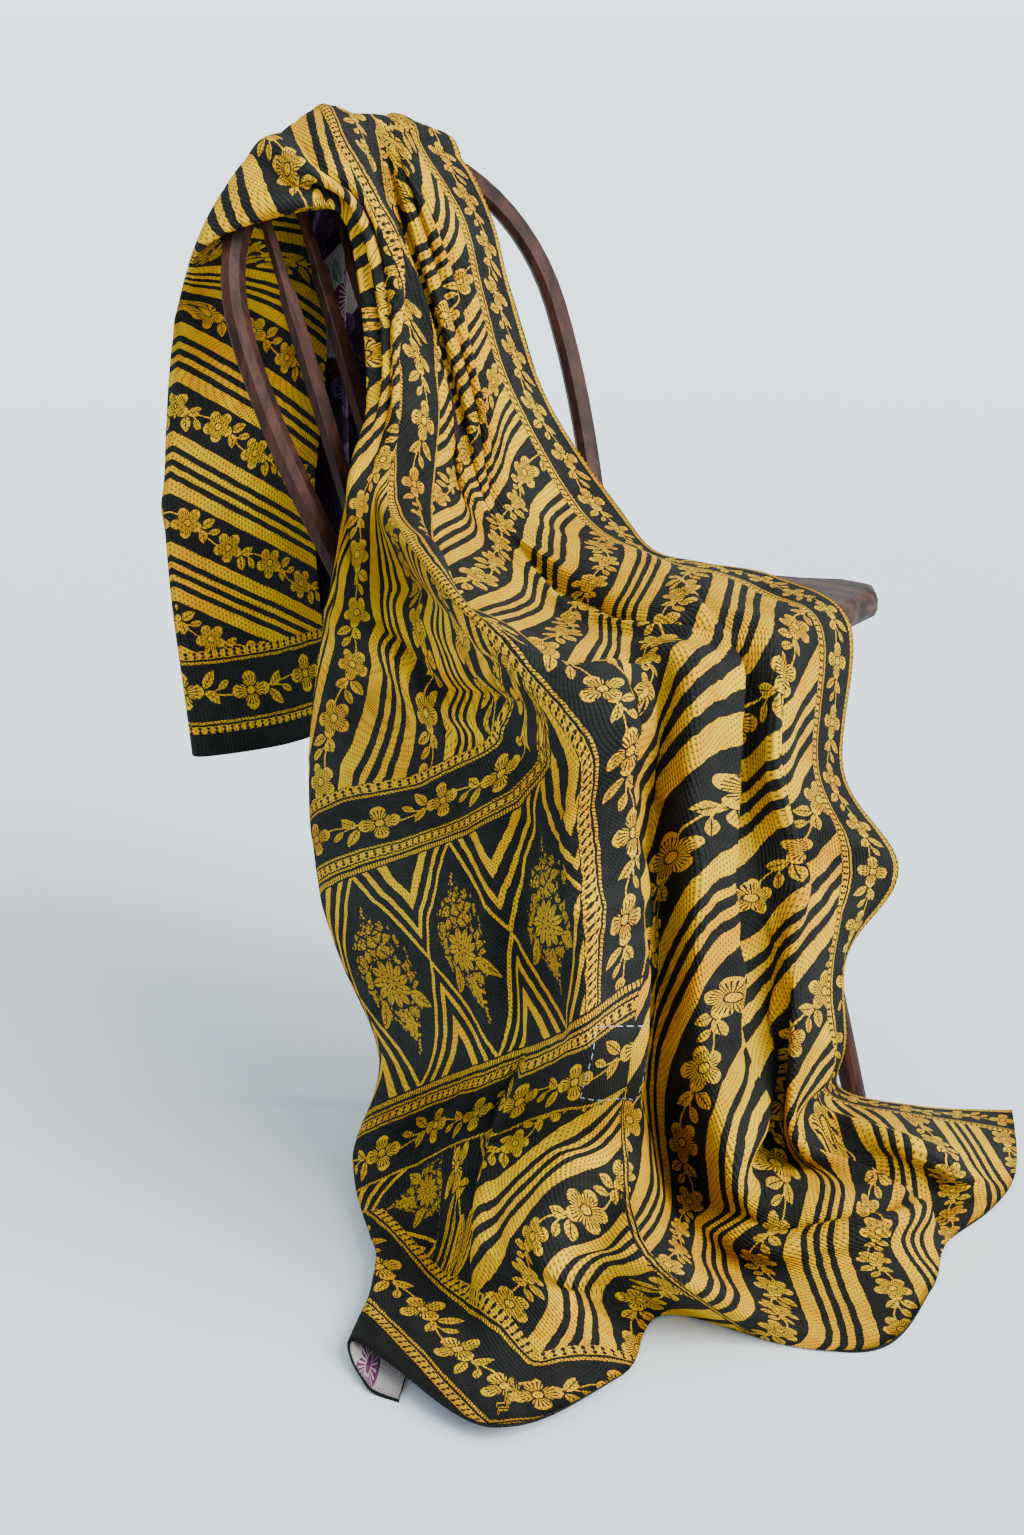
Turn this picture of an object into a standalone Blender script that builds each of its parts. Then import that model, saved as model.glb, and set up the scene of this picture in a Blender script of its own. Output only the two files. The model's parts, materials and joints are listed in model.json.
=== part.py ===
"""A kantha quilt thrown over a wooden bow-back side chair, trailing onto the floor.

The chair faces -Y, its side is X and the floor is z = 0. The quilt is one sheet. Its long side runs from
the hem of the flap behind the chair back, over the bow, down the back, over the seat and down to the
floor. Its left margin is turned in under the sheet all the way along.
"""

import math

import bmesh
import bpy
import numpy as np
from mathutils import Matrix, Vector

COLLECTION = "kantha_quilt_on_chair"

# Origin: the middle of the whole thing on the floor, seen from the middle of the seat.
MIDDLE_X = -0.1426
MIDDLE_Y = -0.0284

# Chair.
SEAT_TOP = 0.470
SEAT_THICK = 0.026
SEAT_EDGE_ROUND = 0.008
GAP = 0.0003
BACK_FOOT_Y = 0.150
BACK_LEAN = math.radians(24.0)
BOW_HEIGHT = 0.432
BOW_FOOT_HALF = 0.171
BOW_WIDEST_HALF = 0.209
BOW_WIDEST_AT = 0.245
BOW_ROUNDNESS = 2.08
BOW_WIDTH = 0.025
BOW_DEPTH = 0.018
BOW_SHOULDER_POINTS = 10
BOW_TOP_POINTS = 28
SLAT_COUNT = 7
SLAT_PITCH = 0.044
SLAT_FOOT_RADIUS = 0.0085
SLAT_HEAD_RADIUS = 0.0055
SLAT_SIDES = 8
SLAT_TRIM = 0.0005
LEG_TOP_RADIUS = 0.016
LEG_FOOT_RADIUS = 0.011
LEG_SIDES = 14
LEGS = {
    # name: (side at the seat, back at the seat, side at the floor, back at the floor)
    "leg_front_right": (0.105, -0.085, 0.155, -0.185),
    "leg_front_left": (-0.105, -0.085, -0.155, -0.185),
    "leg_rear_right": (0.115, 0.065, 0.170, 0.107),
    "leg_rear_left": (-0.115, 0.065, -0.170, 0.107),
}
# Right half of the seat's outline, from the middle of the front edge to the middle of the rear edge.
SEAT_HALF_OUTLINE = (
    (0.000, -0.178),
    (0.080, -0.174),
    (0.155, -0.162),
    (0.205, -0.150),
    (0.228, -0.128),
    (0.227, -0.095),
    (0.206, -0.065),
    (0.190, -0.030),
    (0.182, 0.030),
    (0.186, 0.110),
    (0.180, 0.170),
    (0.140, 0.198),
    (0.070, 0.206),
    (0.000, 0.208),
)

# Quilt.
QUILT_WIDTH = 1.10
QUILT_LENGTH = 2.02
QUILT_THICK = 0.003
QUILT_TO_CHAIR = 0.0055
QUILT_OVER_MARGIN = 0.0125
QUILT_OVER_SEAT_EDGE = 0.009
QUILT_ROLL = 0.25
COLUMN_STEP = 0.031
ROW_STEP = 0.036
ROW_STEP_AT_BENDS = 0.018
BENDS = ((0.45, 0.66), (1.10, 1.20), (1.30, 1.42), (1.76, 1.86))

# The lengthwise folds, right edge first: (name, distance across the sheet from its right long edge).
FOLDS = (
    ("right_edge", 0.000),
    ("right_border", 0.055),
    ("first_ridge", 0.150),
    ("first_valley", 0.250),
    ("deep_crease", 0.350),
    ("second_valley", 0.440),
    ("vine_inner", 0.500),
    ("vine_outer", 0.550),
    ("panel_ridge", 0.670),
    ("panel_side", 0.800),
    ("turned_rim", 0.930),
    ("margin_middle", 1.020),
    ("margin_edge", 1.100),
)

# Each section across the sheet is a row: its name, its distance along the sheet, and one value in
# millimetres for each fold above. SIDE is x, DEPTH is y and HEIGHT is z, all from the middle of the seat.
# The flap's rows follow a rule instead, in flap_section.
SIDE = (
    ("hood_back", 0.47, 115, 95, 70, 45, 20, -5, -30, -50, -88, -132, -190, -135, -50),
    ("crest", 0.56, 110, 90, 66, 46, 28, 4, -14, -30, -86, -138, -200, -135, -60),
    ("hood_front", 0.64, 105, 50, 15, 8, 3, -14, -50, -70, -110, -140, -165, -105, -45),
    ("neck", 0.73, 115, 70, 25, 4, -5, -20, -45, -65, -80, -87, -80, -25, 20),
    ("back_upper", 0.84, 110, 80, 35, 5, -5, -22, -45, -60, -75, -74, -65, -25, 10),
    ("back_middle", 0.95, 120, 55, 15, -2, -14, -30, -60, -90, -108, -112, -102, -60, -10),
    ("back_low", 1.06, 165, 75, 20, -8, -22, -46, -105, -146, -170, -184, -175, -120, -60),
    ("lap", 1.16, 105, 65, 0, -40, -60, -145, -235, -300, -200, -210, -215, -200, -200),
    ("seat", 1.28, 130, 55, -45, -100, -140, -205, -285, -335, -265, -250, -225, -205, -205),
    ("seat_edge", 1.37, 85, 15, -50, -75, -155, -170, -220, -270, -260, -265, -235, -205, -205),
    ("drop_top", 1.46, 70, 0, -60, -65, -160, -160, -225, -290, -275, -280, -245, -205, -205),
    ("drop_high", 1.56, 110, 55, -30, -55, -155, -155, -230, -305, -290, -295, -255, -210, -210),
    ("drop_middle", 1.64, 65, 35, -35, -40, -165, -155, -245, -325, -310, -310, -270, -220, -220),
    ("drop_low", 1.72, 65, 25, -45, -40, -170, -165, -265, -355, -340, -330, -280, -230, -230),
    ("touch", 1.81, 105, 35, -55, -40, -145, -125, -230, -280, -300, -300, -305, -230, -185),
    ("floor_middle", 1.91, 160, 40, 0, -105, -160, -200, -325, -365, -385, -360, -400, -330, -290),
    ("floor_end", 2.02, 230, 155, 75, -30, -95, -205, -245, -265, -370, -500, -490, -515, -510),
)
DEPTH = (
    ("hood_back", 350, 365, 370, 358, 368, 362, 367, 364, 362, 355, 332, 322, 335),
    ("crest", 330, 336, 338, 332, 329, 328, 330, 330, 325, 314, 292, 312, 324),
    ("hood_front", 280, 268, 260, 270, 282, 274, 260, 255, 245, 248, 260, 282, 290),
    ("neck", 255, 240, 225, 232, 250, 243, 230, 220, 222, 232, 252, 273, 273),
    ("back_upper", 225, 220, 205, 207, 223, 216, 205, 195, 195, 205, 225, 243, 243),
    ("back_middle", 185, 175, 160, 167, 182, 176, 165, 155, 155, 163, 180, 198, 198),
    ("back_low", 135, 128, 120, 126, 145, 136, 115, 110, 113, 126, 145, 160, 160),
    ("lap", 20, 0, -20, -20, 10, -40, -80, -105, 40, 90, 120, 80, 35),
    ("seat", -90, -120, -165, -170, -165, -200, -235, -235, -100, 0, 125, 110, 35),
    ("seat_edge", -210, -220, -235, -220, -240, -215, -250, -245, -155, -45, 125, 105, 20),
    ("drop_top", -220, -235, -250, -220, -250, -205, -255, -265, -170, -60, 115, 105, 10),
    ("drop_high", -255, -245, -255, -225, -255, -200, -260, -285, -185, -75, 95, 100, 5),
    ("drop_middle", -240, -250, -260, -230, -265, -205, -270, -305, -210, -105, 50, 70, -20),
    ("drop_low", -240, -255, -270, -235, -280, -210, -290, -330, -250, -155, -10, 20, -40),
    ("touch", -205, -245, -285, -255, -280, -195, -255, -240, -160, -85, 0, 50, 20),
    ("floor_middle", -255, -335, -340, -380, -345, -300, -360, -315, -260, -165, -135, -85, -100),
    ("floor_end", -310, -365, -405, -420, -455, -480, -425, -345, -375, -365, -205, -250, -280),
)
HEIGHT = (
    ("hood_back", 795, 805, 815, 818, 818, 818, 820, 820, 803, 770, 745, 772, 815),
    ("crest", 852, 868, 877, 872, 866, 877, 884, 885, 867, 839, 776, 833, 864),
    ("hood_front", 830, 833, 840, 845, 848, 848, 852, 855, 845, 825, 795, 815, 828),
    ("neck", 780, 777, 775, 775, 775, 778, 790, 800, 805, 808, 800, 795, 788),
    ("back_upper", 715, 715, 715, 715, 710, 710, 720, 725, 725, 730, 740, 730, 720),
    ("back_middle", 615, 625, 630, 635, 630, 630, 640, 640, 640, 640, 640, 630, 625),
    ("back_low", 515, 520, 530, 535, 540, 540, 560, 565, 565, 565, 560, 550, 545),
    ("lap", 490, 500, 505, 500, 485, 500, 530, 560, 515, 500, 485, 480, 485),
    ("seat", 485, 490, 500, 495, 485, 495, 510, 520, 470, 440, 425, 405, 410),
    ("seat_edge", 470, 480, 480, 465, 490, 460, 475, 445, 425, 400, 360, 345, 355),
    ("drop_top", 345, 365, 375, 370, 400, 380, 410, 400, 375, 350, 300, 285, 300),
    ("drop_high", 250, 255, 275, 270, 310, 285, 330, 350, 325, 300, 240, 220, 235),
    ("drop_middle", 180, 185, 205, 205, 245, 225, 280, 305, 280, 250, 190, 165, 180),
    ("drop_low", 100, 110, 135, 125, 175, 150, 215, 255, 225, 190, 120, 100, 115),
    ("touch", 30, 50, 60, 35, 80, 30, 100, 120, 100, 70, 30, 20, 20),
    ("floor_middle", 10, 50, 20, 55, 30, 12, 90, 80, 70, 20, 20, 5, 5),
    ("floor_end", 1, 1, 1, 1, 1, 1, 1, 1, 6, 14, 14, 4, 1),
)
# The flap behind the chair: (distance along the sheet, height, x of its left rim).
FLAP = (
    (0.00, 0.295, -0.200),
    (0.18, 0.510, -0.220),
    (0.35, 0.685, -0.200),
)
FLAP_RIGHT = 0.130
FLAP_BACK_Y = 0.388
FLAP_RIM_Y = 0.335
FLAP_MARGIN_Y = 0.308
PLEAT_DEPTH = 0.034
PLEAT_PITCH = 0.155
PLEATS_END = (0.62, 0.76)
PLEATS_TOP = (0.30, 0.47)

WOOD = (0.060, 0.028, 0.018, 1.0)
CLOTH = (0.420, 0.260, 0.050, 1.0)


def clear_scene():
    for old in list(bpy.data.objects):
        bpy.data.objects.remove(old, do_unlink=True)


def make_collection():
    collection = bpy.data.collections.new(COLLECTION)
    bpy.context.scene.collection.children.link(collection)
    return collection


def make_material(name, colour, roughness):
    material = bpy.data.materials.new(name)
    material.use_nodes = True
    shader = material.node_tree.nodes["Principled BSDF"]
    shader.inputs["Base Color"].default_value = colour
    shader.inputs["Roughness"].default_value = roughness
    shader.inputs["Metallic"].default_value = 0.0
    return material


def add_object(name, data, material, collection):
    part = bpy.data.objects.new(name, data)
    data.materials.append(material)
    collection.objects.link(part)
    part.location = (-MIDDLE_X, -MIDDLE_Y, 0.0)
    return part


# ---------------------------------------------------------------- chair


def seat_outline():
    left = [(-x, y) for x, y in reversed(SEAT_HALF_OUTLINE[1:-1])]
    return list(SEAT_HALF_OUTLINE) + left


def make_seat(collection):
    """The plank: a filled flat outline with a rounded edge."""
    curve = bpy.data.curves.new("seat", "CURVE")
    curve.dimensions = "2D"
    curve.fill_mode = "BOTH"
    curve.extrude = SEAT_THICK / 2 - SEAT_EDGE_ROUND
    curve.bevel_depth = SEAT_EDGE_ROUND
    curve.bevel_resolution = 1
    curve.offset = -SEAT_EDGE_ROUND
    spline = curve.splines.new("POLY")
    outline = seat_outline()
    spline.points.add(len(outline) - 1)
    for point, (x, y) in zip(spline.points, outline):
        point.co = (x, y, 0.0, 1.0)
    spline.use_cyclic_u = True
    seat = add_object("seat", curve, make_material("seat_wood", WOOD, 0.55), collection)
    seat.location.z = SEAT_TOP - SEAT_THICK / 2


def bow_outline():
    """The bow's outer edge in its own plane, from the left foot round the top to the right foot."""
    rise = []
    for i in range(BOW_SHOULDER_POINTS):
        v = BOW_WIDEST_AT * i / BOW_SHOULDER_POINTS
        swell = math.sin(0.5 * math.pi * v / BOW_WIDEST_AT)
        rise.append((BOW_FOOT_HALF + (BOW_WIDEST_HALF - BOW_FOOT_HALF) * swell, v))
    top = []
    power = 2.0 / BOW_ROUNDNESS
    for i in range(BOW_TOP_POINTS + 1):
        angle = math.pi * i / BOW_TOP_POINTS
        across = abs(math.cos(angle)) ** power * math.copysign(1.0, math.cos(angle))
        top.append((BOW_WIDEST_HALF * across, BOW_WIDEST_AT + (BOW_HEIGHT - BOW_WIDEST_AT) * math.sin(angle) ** power))
    left = [(-u, v) for u, v in reversed(rise)]
    return list(rise) + top + left


def bow_centreline():
    """The outer edge moved inwards by half the bow's width."""
    edge = bow_outline()
    centre = []
    for i, (u, v) in enumerate(edge):
        before = edge[max(i - 1, 0)]
        after = edge[min(i + 1, len(edge) - 1)]
        du = after[0] - before[0]
        dv = after[1] - before[1]
        size = math.hypot(du, dv)
        centre.append((u - BOW_WIDTH / 2 * dv / size, v + BOW_WIDTH / 2 * du / size))
    return centre


def on_back(u, v, forward=0.0):
    """A point of the leaning back plane: u across, v up it from the seat, forward of it."""
    y = BACK_FOOT_Y + v * math.sin(BACK_LEAN) - forward * math.cos(BACK_LEAN)
    z = SEAT_TOP + v * math.cos(BACK_LEAN) + forward * math.sin(BACK_LEAN)
    return (u, y, z)


def make_bow(collection):
    """The bow: a round tube along its centreline, flattened front to back."""
    centre = bow_centreline()
    lift = BOW_DEPTH / 2 * math.tan(BACK_LEAN) + 2 * GAP
    centre[0] = (centre[1][0], lift)
    centre[-1] = (centre[-2][0], lift)
    curve = bpy.data.curves.new("hoop", "CURVE")
    curve.dimensions = "3D"
    curve.bevel_depth = BOW_WIDTH / 2
    curve.bevel_resolution = 2
    curve.use_fill_caps = True
    spline = curve.splines.new("POLY")
    spline.points.add(len(centre) - 1)
    for point, (u, v) in zip(spline.points, centre):
        point.co = (u, v, 0.0, 1.0)
    bow = add_object("hoop", curve, make_material("hoop_wood", WOOD, 0.5), collection)
    bow.location += Vector(on_back(0.0, 0.0))
    bow.rotation_euler.x = math.radians(90.0) - BACK_LEAN
    bow.scale.z = BOW_DEPTH / BOW_WIDTH


def slanted_rod(name, foot, top, foot_radius, top_radius, sides, collection, material):
    """A tapered round rod with level ends, slanted by a shear so that both ends stay flat."""
    height = top[2] - foot[2]
    mesh = bpy.data.meshes.new(name)
    rod = bmesh.new()
    bmesh.ops.create_cone(
        rod,
        cap_ends=True,
        segments=sides,
        radius1=foot_radius,
        radius2=top_radius,
        depth=height,
        matrix=Matrix.Translation((0.0, 0.0, height / 2)),
    )
    shear = Matrix.Identity(4)
    shear[0][2] = (top[0] - foot[0]) / height
    shear[1][2] = (top[1] - foot[1]) / height
    bmesh.ops.transform(rod, matrix=shear, verts=rod.verts)
    rod.to_mesh(mesh)
    rod.free()
    for face in mesh.polygons:
        face.use_smooth = len(face.vertices) == 4
    part = add_object(name, mesh, material, collection)
    part.location += Vector(foot)


def slat_top(u):
    """How far up the back a slat can reach with its head clear of the bow."""
    centre = bow_centreline()
    reach = BOW_WIDTH / 2 + GAP
    lean = SLAT_HEAD_RADIUS * math.sin(BACK_LEAN)
    v = BOW_WIDEST_AT
    while all(distance_to_line((u + side * SLAT_HEAD_RADIUS, v + lean), centre) > reach for side in (-1, 1)):
        v += SLAT_TRIM
    return v - SLAT_TRIM


def distance_to_line(point, line):
    px, py = point
    best = 1.0
    for (ax, ay), (bx, by) in zip(line[:-1], line[1:]):
        dx = bx - ax
        dy = by - ay
        along = max(0.0, min(1.0, ((px - ax) * dx + (py - ay) * dy) / (dx * dx + dy * dy)))
        best = min(best, math.hypot(px - ax - along * dx, py - ay - along * dy))
    return best


def slat_ends():
    """Foot and head of each slat, left to right."""
    ends = []
    for i in range(SLAT_COUNT):
        u = (i - (SLAT_COUNT - 1) / 2) * SLAT_PITCH
        ends.append((on_back(u, GAP / math.cos(BACK_LEAN)), on_back(u, slat_top(u))))
    return ends


def make_slats(collection):
    material = make_material("slat_wood", WOOD, 0.5)
    for i, (foot, top) in enumerate(slat_ends()):
        slanted_rod(
            f"slat_{i + 1}", foot, top, SLAT_FOOT_RADIUS, SLAT_HEAD_RADIUS, SLAT_SIDES, collection, material
        )


def leg_ends(name):
    top_x, top_y, foot_x, foot_y = LEGS[name]
    return (foot_x, foot_y, 0.0), (top_x, top_y, SEAT_TOP - SEAT_THICK - GAP)


def make_legs(collection):
    material = make_material("leg_wood", WOOD, 0.55)
    for name in LEGS:
        foot, top = leg_ends(name)
        slanted_rod(name, foot, top, LEG_FOOT_RADIUS, LEG_TOP_RADIUS, LEG_SIDES, collection, material)


# ---------------------------------------------------------------- quilt


def roll_over(values, rim):
    """The direction of the sheet where it turns back on itself, square to both of its layers."""
    before = values[rim - 1]
    after = values[rim + 1]
    layer = 2 * values[rim] - before - after
    layer /= np.linalg.norm(layer, axis=-1, keepdims=True)
    through = after - before
    through -= (through * layer).sum(axis=-1, keepdims=True) * layer
    return QUILT_ROLL * through / np.linalg.norm(through, axis=-1, keepdims=True)


def smooth_through(at, knots, values, rim=None):
    """A smooth curve through values at uneven knots. At a rim it turns back in a small round roll."""
    steps = np.diff(knots)
    steps = steps.reshape((-1,) + (1,) * (values.ndim - 1))
    slopes = np.diff(values, axis=0) / steps
    tangents = np.empty_like(values)
    tangents[0] = slopes[0]
    tangents[-1] = slopes[-1]
    weight = steps[1:] / (steps[:-1] + steps[1:])
    tangents[1:-1] = weight * slopes[:-1] + (1 - weight) * slopes[1:]
    if rim is not None:
        tangents[rim] = roll_over(values, rim)
    i = np.clip(np.searchsorted(knots, at, side="right") - 1, 0, len(knots) - 2)
    step = steps[i]
    u = ((at - knots[i]).reshape(step.shape)) / step
    return (
        (2 * u**3 - 3 * u**2 + 1) * values[i]
        + (u**3 - 2 * u**2 + u) * step * tangents[i]
        + (3 * u**2 - 2 * u**3) * values[i + 1]
        + (u**3 - u**2) * step * tangents[i + 1]
    )


def flap_section(height, rim_x):
    """One section of the flap before it is pleated: the sheet to its rim, then the margin turned in."""
    section = []
    pleated = dict(FOLDS)["panel_ridge"]
    for _, across in FOLDS[:9]:
        section.append((FLAP_RIGHT + (rim_x + 0.060 - FLAP_RIGHT) * across / pleated, FLAP_BACK_Y, height))
    section.append((rim_x + 0.035, FLAP_BACK_Y - 0.015, height))
    section.append((rim_x, FLAP_RIM_Y, height))
    section.append((rim_x + 0.080, FLAP_MARGIN_Y, height))
    section.append((rim_x + 0.155, FLAP_MARGIN_Y + 0.007, height))
    return section


def fade(value, limits):
    """One before the limits, zero after them, and a smooth step between."""
    u = np.clip((value - limits[0]) / (limits[1] - limits[0]), 0.0, 1.0)
    return 1.0 - u * u * (3.0 - 2.0 * u)


def pleat_flap(grid, along, across):
    """The hanging flap's deep pleats, which die out towards the hood and the rim."""
    wave = np.sin(2 * math.pi * across / PLEAT_PITCH) * fade(across, PLEATS_END)
    grid[:, :, 1] += PLEAT_DEPTH * fade(along, PLEATS_TOP)[:, None] * wave


def quilt_sections():
    """(distance along, 13 points) for each section, hem of the flap first."""
    along = [row[0] for row in FLAP]
    points = [flap_section(*row[1:]) for row in FLAP]
    for side, depth, height in zip(SIDE, DEPTH, HEIGHT):
        along.append(side[1])
        points.append([(x / 1000, y / 1000, z / 1000) for x, y, z in zip(side[2:], depth[1:], height[1:])])
    return np.array(along), np.array(points)


def stations(end, step, bends=(), bend_step=0.0):
    """Places from 0 to end, closer together inside the bends."""
    places = [0.0]
    while places[-1] < end - 0.6 * step:
        here = places[-1]
        inside = any(low <= here < high for low, high in bends)
        places.append(here + (bend_step if inside else step))
    places[-1] = end
    return np.array(places)


def chair_rods():
    """The chair as rods for clearance: (foot, top, foot radius, top radius)."""
    rods = []
    centre = [on_back(u, v) for u, v in bow_centreline()]
    for a, b in zip(centre[:-1], centre[1:]):
        rods.append((a, b, BOW_WIDTH / 2, BOW_WIDTH / 2))
    for foot, top in slat_ends():
        rods.append((foot, top, SLAT_FOOT_RADIUS, SLAT_HEAD_RADIUS))
    for name in LEGS:
        foot, top = leg_ends(name)
        rods.append((foot, top, LEG_FOOT_RADIUS, LEG_TOP_RADIUS))
    return rods


def push_off_rods(points, rods, clearance):
    """Moves points straight away from any rod that is nearer than the clearance."""
    for foot, top, foot_radius, top_radius in rods:
        foot = np.array(foot)
        axis = np.array(top) - foot
        along = np.clip((points - foot) @ axis / (axis @ axis), 0.0, 1.0)
        away = points - foot - along[:, None] * axis
        gap = np.linalg.norm(away, axis=1)
        wanted = foot_radius + (top_radius - foot_radius) * along + clearance
        near = gap < wanted
        points[near] += away[near] / gap[near, None] * (wanted - gap)[near, None]


def seat_distance(points):
    """Signed distance from the seat slab's outline in plan, and the plan direction out of it."""
    outline = np.array(seat_outline())
    ahead = np.roll(outline, -1, axis=0)
    best = np.full(len(points), 9.0)
    out = np.zeros((len(points), 2))
    inside = np.zeros(len(points), bool)
    flat = points[:, :2]
    for a, b in zip(outline, ahead):
        edge = b - a
        along = np.clip((flat - a) @ edge / (edge @ edge), 0.0, 1.0)
        away = flat - a - along[:, None] * edge
        gap = np.linalg.norm(away, axis=1)
        nearer = gap < best
        best[nearer] = gap[nearer]
        out[nearer] = away[nearer]
        crosses = (a[1] > flat[:, 1]) != (b[1] > flat[:, 1])
        with np.errstate(divide="ignore", invalid="ignore"):
            at = a[0] + (flat[:, 1] - a[1]) * edge[0] / edge[1]
        inside ^= crosses & (flat[:, 0] < at)
    out /= np.maximum(np.linalg.norm(out, axis=1), 1e-9)[:, None]
    out[inside] *= -1
    return np.where(inside, -best, best), out


def push_off_seat(points, clearance):
    """Moves points out of the seat slab, up, down or outwards, whichever is nearest."""
    plan, out = seat_distance(points)
    middle = SEAT_TOP - SEAT_THICK / 2
    rise = points[:, 2] - middle
    level = np.abs(rise) - SEAT_THICK / 2
    near = (plan < clearance) & (level < clearance)
    corner = near & (plan > 0) & (level > 0)
    sideways = near & ~corner & (plan > level)
    upright = near & ~corner & ~sideways
    points[sideways, :2] += out[sideways] * (clearance - plan)[sideways, None]
    lift = np.sign(rise) * (clearance - level)
    points[upright, 2] += lift[upright]
    size = np.hypot(plan, level)
    short = corner & (size < clearance)
    push = (clearance - size)[short] / size[short]
    points[short, :2] += out[short] * (plan[short] * push)[:, None]
    points[short, 2] += (np.sign(rise) * level)[short] * push


def quilt_surface():
    """The middle of the sheet as a grid of points, along by across, clear of chair and floor."""
    knots, sections = quilt_sections()
    along = stations(QUILT_LENGTH, ROW_STEP, BENDS, ROW_STEP_AT_BENDS)
    across = stations(QUILT_WIDTH, COLUMN_STEP)
    grid = smooth_through(along, knots, sections)
    fold_at = np.array([at for _, at in FOLDS])
    rim = [name for name, _ in FOLDS].index("turned_rim")
    grid = np.swapaxes(smooth_through(across, fold_at, np.swapaxes(grid, 0, 1), rim), 0, 1)
    pleat_flap(grid, along, across)
    rods = chair_rods()
    turned = across > dict(FOLDS)["turned_rim"]
    shape = grid.shape
    for clearance, columns in ((QUILT_OVER_MARGIN, ~turned), (QUILT_TO_CHAIR, turned)):
        part = grid[:, columns].reshape(-1, 3)
        push_off_seat(part, max(clearance, QUILT_OVER_SEAT_EDGE))
        push_off_rods(part, rods, clearance)
        grid[:, columns] = part.reshape(shape[0], -1, 3)
    grid[:, :, 2] = np.maximum(grid[:, :, 2], QUILT_THICK / 2)
    return grid


def make_quilt(collection):
    """The sheet's middle surface, thickened to both sides."""
    grid = quilt_surface()
    rows, columns = grid.shape[:2]
    mesh = bpy.data.meshes.new("quilt")
    sheet = bmesh.new()
    corners = [[sheet.verts.new(Vector(point)) for point in row] for row in grid]
    for i in range(rows - 1):
        for j in range(columns - 1):
            sheet.faces.new((corners[i][j], corners[i][j + 1], corners[i + 1][j + 1], corners[i + 1][j]))
    sheet.to_mesh(mesh)
    sheet.free()
    mesh.shade_smooth()
    quilt = add_object("quilt", mesh, make_material("quilt_cloth", CLOTH, 0.9), collection)
    thick = quilt.modifiers.new("thickness", "SOLIDIFY")
    thick.thickness = QUILT_THICK
    thick.offset = 0.0
    thick.use_even_offset = False


def main():
    clear_scene()
    collection = make_collection()
    make_seat(collection)
    make_bow(collection)
    make_slats(collection)
    make_legs(collection)
    make_quilt(collection)


main()
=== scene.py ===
"""The looks of a kantha quilt draped over a bow-back side chair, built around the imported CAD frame."""

import math
from functools import reduce

import bpy
import numpy as np
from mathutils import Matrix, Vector
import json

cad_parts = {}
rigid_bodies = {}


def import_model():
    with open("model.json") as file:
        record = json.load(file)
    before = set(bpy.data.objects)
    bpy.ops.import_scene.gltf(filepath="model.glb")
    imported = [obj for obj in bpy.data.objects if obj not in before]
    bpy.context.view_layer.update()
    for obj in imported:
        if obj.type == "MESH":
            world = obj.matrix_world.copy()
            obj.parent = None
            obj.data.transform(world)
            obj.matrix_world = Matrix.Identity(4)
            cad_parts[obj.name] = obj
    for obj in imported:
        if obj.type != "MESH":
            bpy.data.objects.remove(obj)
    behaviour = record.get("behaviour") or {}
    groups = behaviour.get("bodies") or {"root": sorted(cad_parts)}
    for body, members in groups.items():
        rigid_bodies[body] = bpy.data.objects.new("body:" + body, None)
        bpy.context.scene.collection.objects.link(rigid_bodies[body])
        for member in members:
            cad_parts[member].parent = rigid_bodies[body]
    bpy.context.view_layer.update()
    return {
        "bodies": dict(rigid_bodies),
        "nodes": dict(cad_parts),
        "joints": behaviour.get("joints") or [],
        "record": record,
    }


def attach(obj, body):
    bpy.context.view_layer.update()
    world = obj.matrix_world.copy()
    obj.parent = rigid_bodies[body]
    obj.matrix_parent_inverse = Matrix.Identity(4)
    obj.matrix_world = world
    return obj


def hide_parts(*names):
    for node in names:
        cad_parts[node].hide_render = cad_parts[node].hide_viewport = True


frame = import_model()

# ---- sizes shared with part.py, in metres

MIDDLE = np.array((-0.1426, -0.0284, 0.0))
FAR = 9.0
SEAT_TOP = 0.470
SEAT_THICK = 0.026
GAP = 0.0003
BACK_FOOT_Y = 0.150
BACK_LEAN = math.radians(24.0)
BOW_HEIGHT = 0.432
BOW_FOOT_HALF = 0.171
BOW_WIDEST_HALF = 0.209
BOW_WIDEST_AT = 0.245
BOW_ROUNDNESS = 2.08
BOW_WIDTH = 0.025
BOW_SHOULDER_POINTS = 10
BOW_TOP_POINTS = 28
SLAT_COUNT = 7
SLAT_PITCH = 0.044
LEGS = {
    "leg_front_right": (0.105, -0.085, 0.155, -0.185),
    "leg_front_left": (-0.105, -0.085, -0.155, -0.185),
    "leg_rear_right": (0.115, 0.065, 0.170, 0.107),
    "leg_rear_left": (-0.115, 0.065, -0.170, 0.107),
}
LEG_TOP_RADIUS = 0.016
LEG_FOOT_RADIUS = 0.011
SLAT_FOOT_RADIUS = 0.0085
SLAT_HEAD_RADIUS = 0.0055
SQUARE = ((-1, -1), (1, -1), (1, 1), (-1, 1))
# The dressed slat, foot to head: share of its length, width and depth.
SLAT_SHAPE = ((0.0, 0.0145, 0.0105), (0.76, 0.0140, 0.0100), (0.785, 0.0095, 0.0080), (1.0, 0.0085, 0.0070))
SEAT_HALF_OUTLINE = (
    (0.000, -0.178),
    (0.080, -0.174),
    (0.155, -0.162),
    (0.205, -0.150),
    (0.228, -0.128),
    (0.227, -0.095),
    (0.206, -0.065),
    (0.190, -0.030),
    (0.182, 0.030),
    (0.186, 0.110),
    (0.180, 0.170),
    (0.140, 0.198),
    (0.070, 0.206),
    (0.000, 0.208),
)

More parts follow.
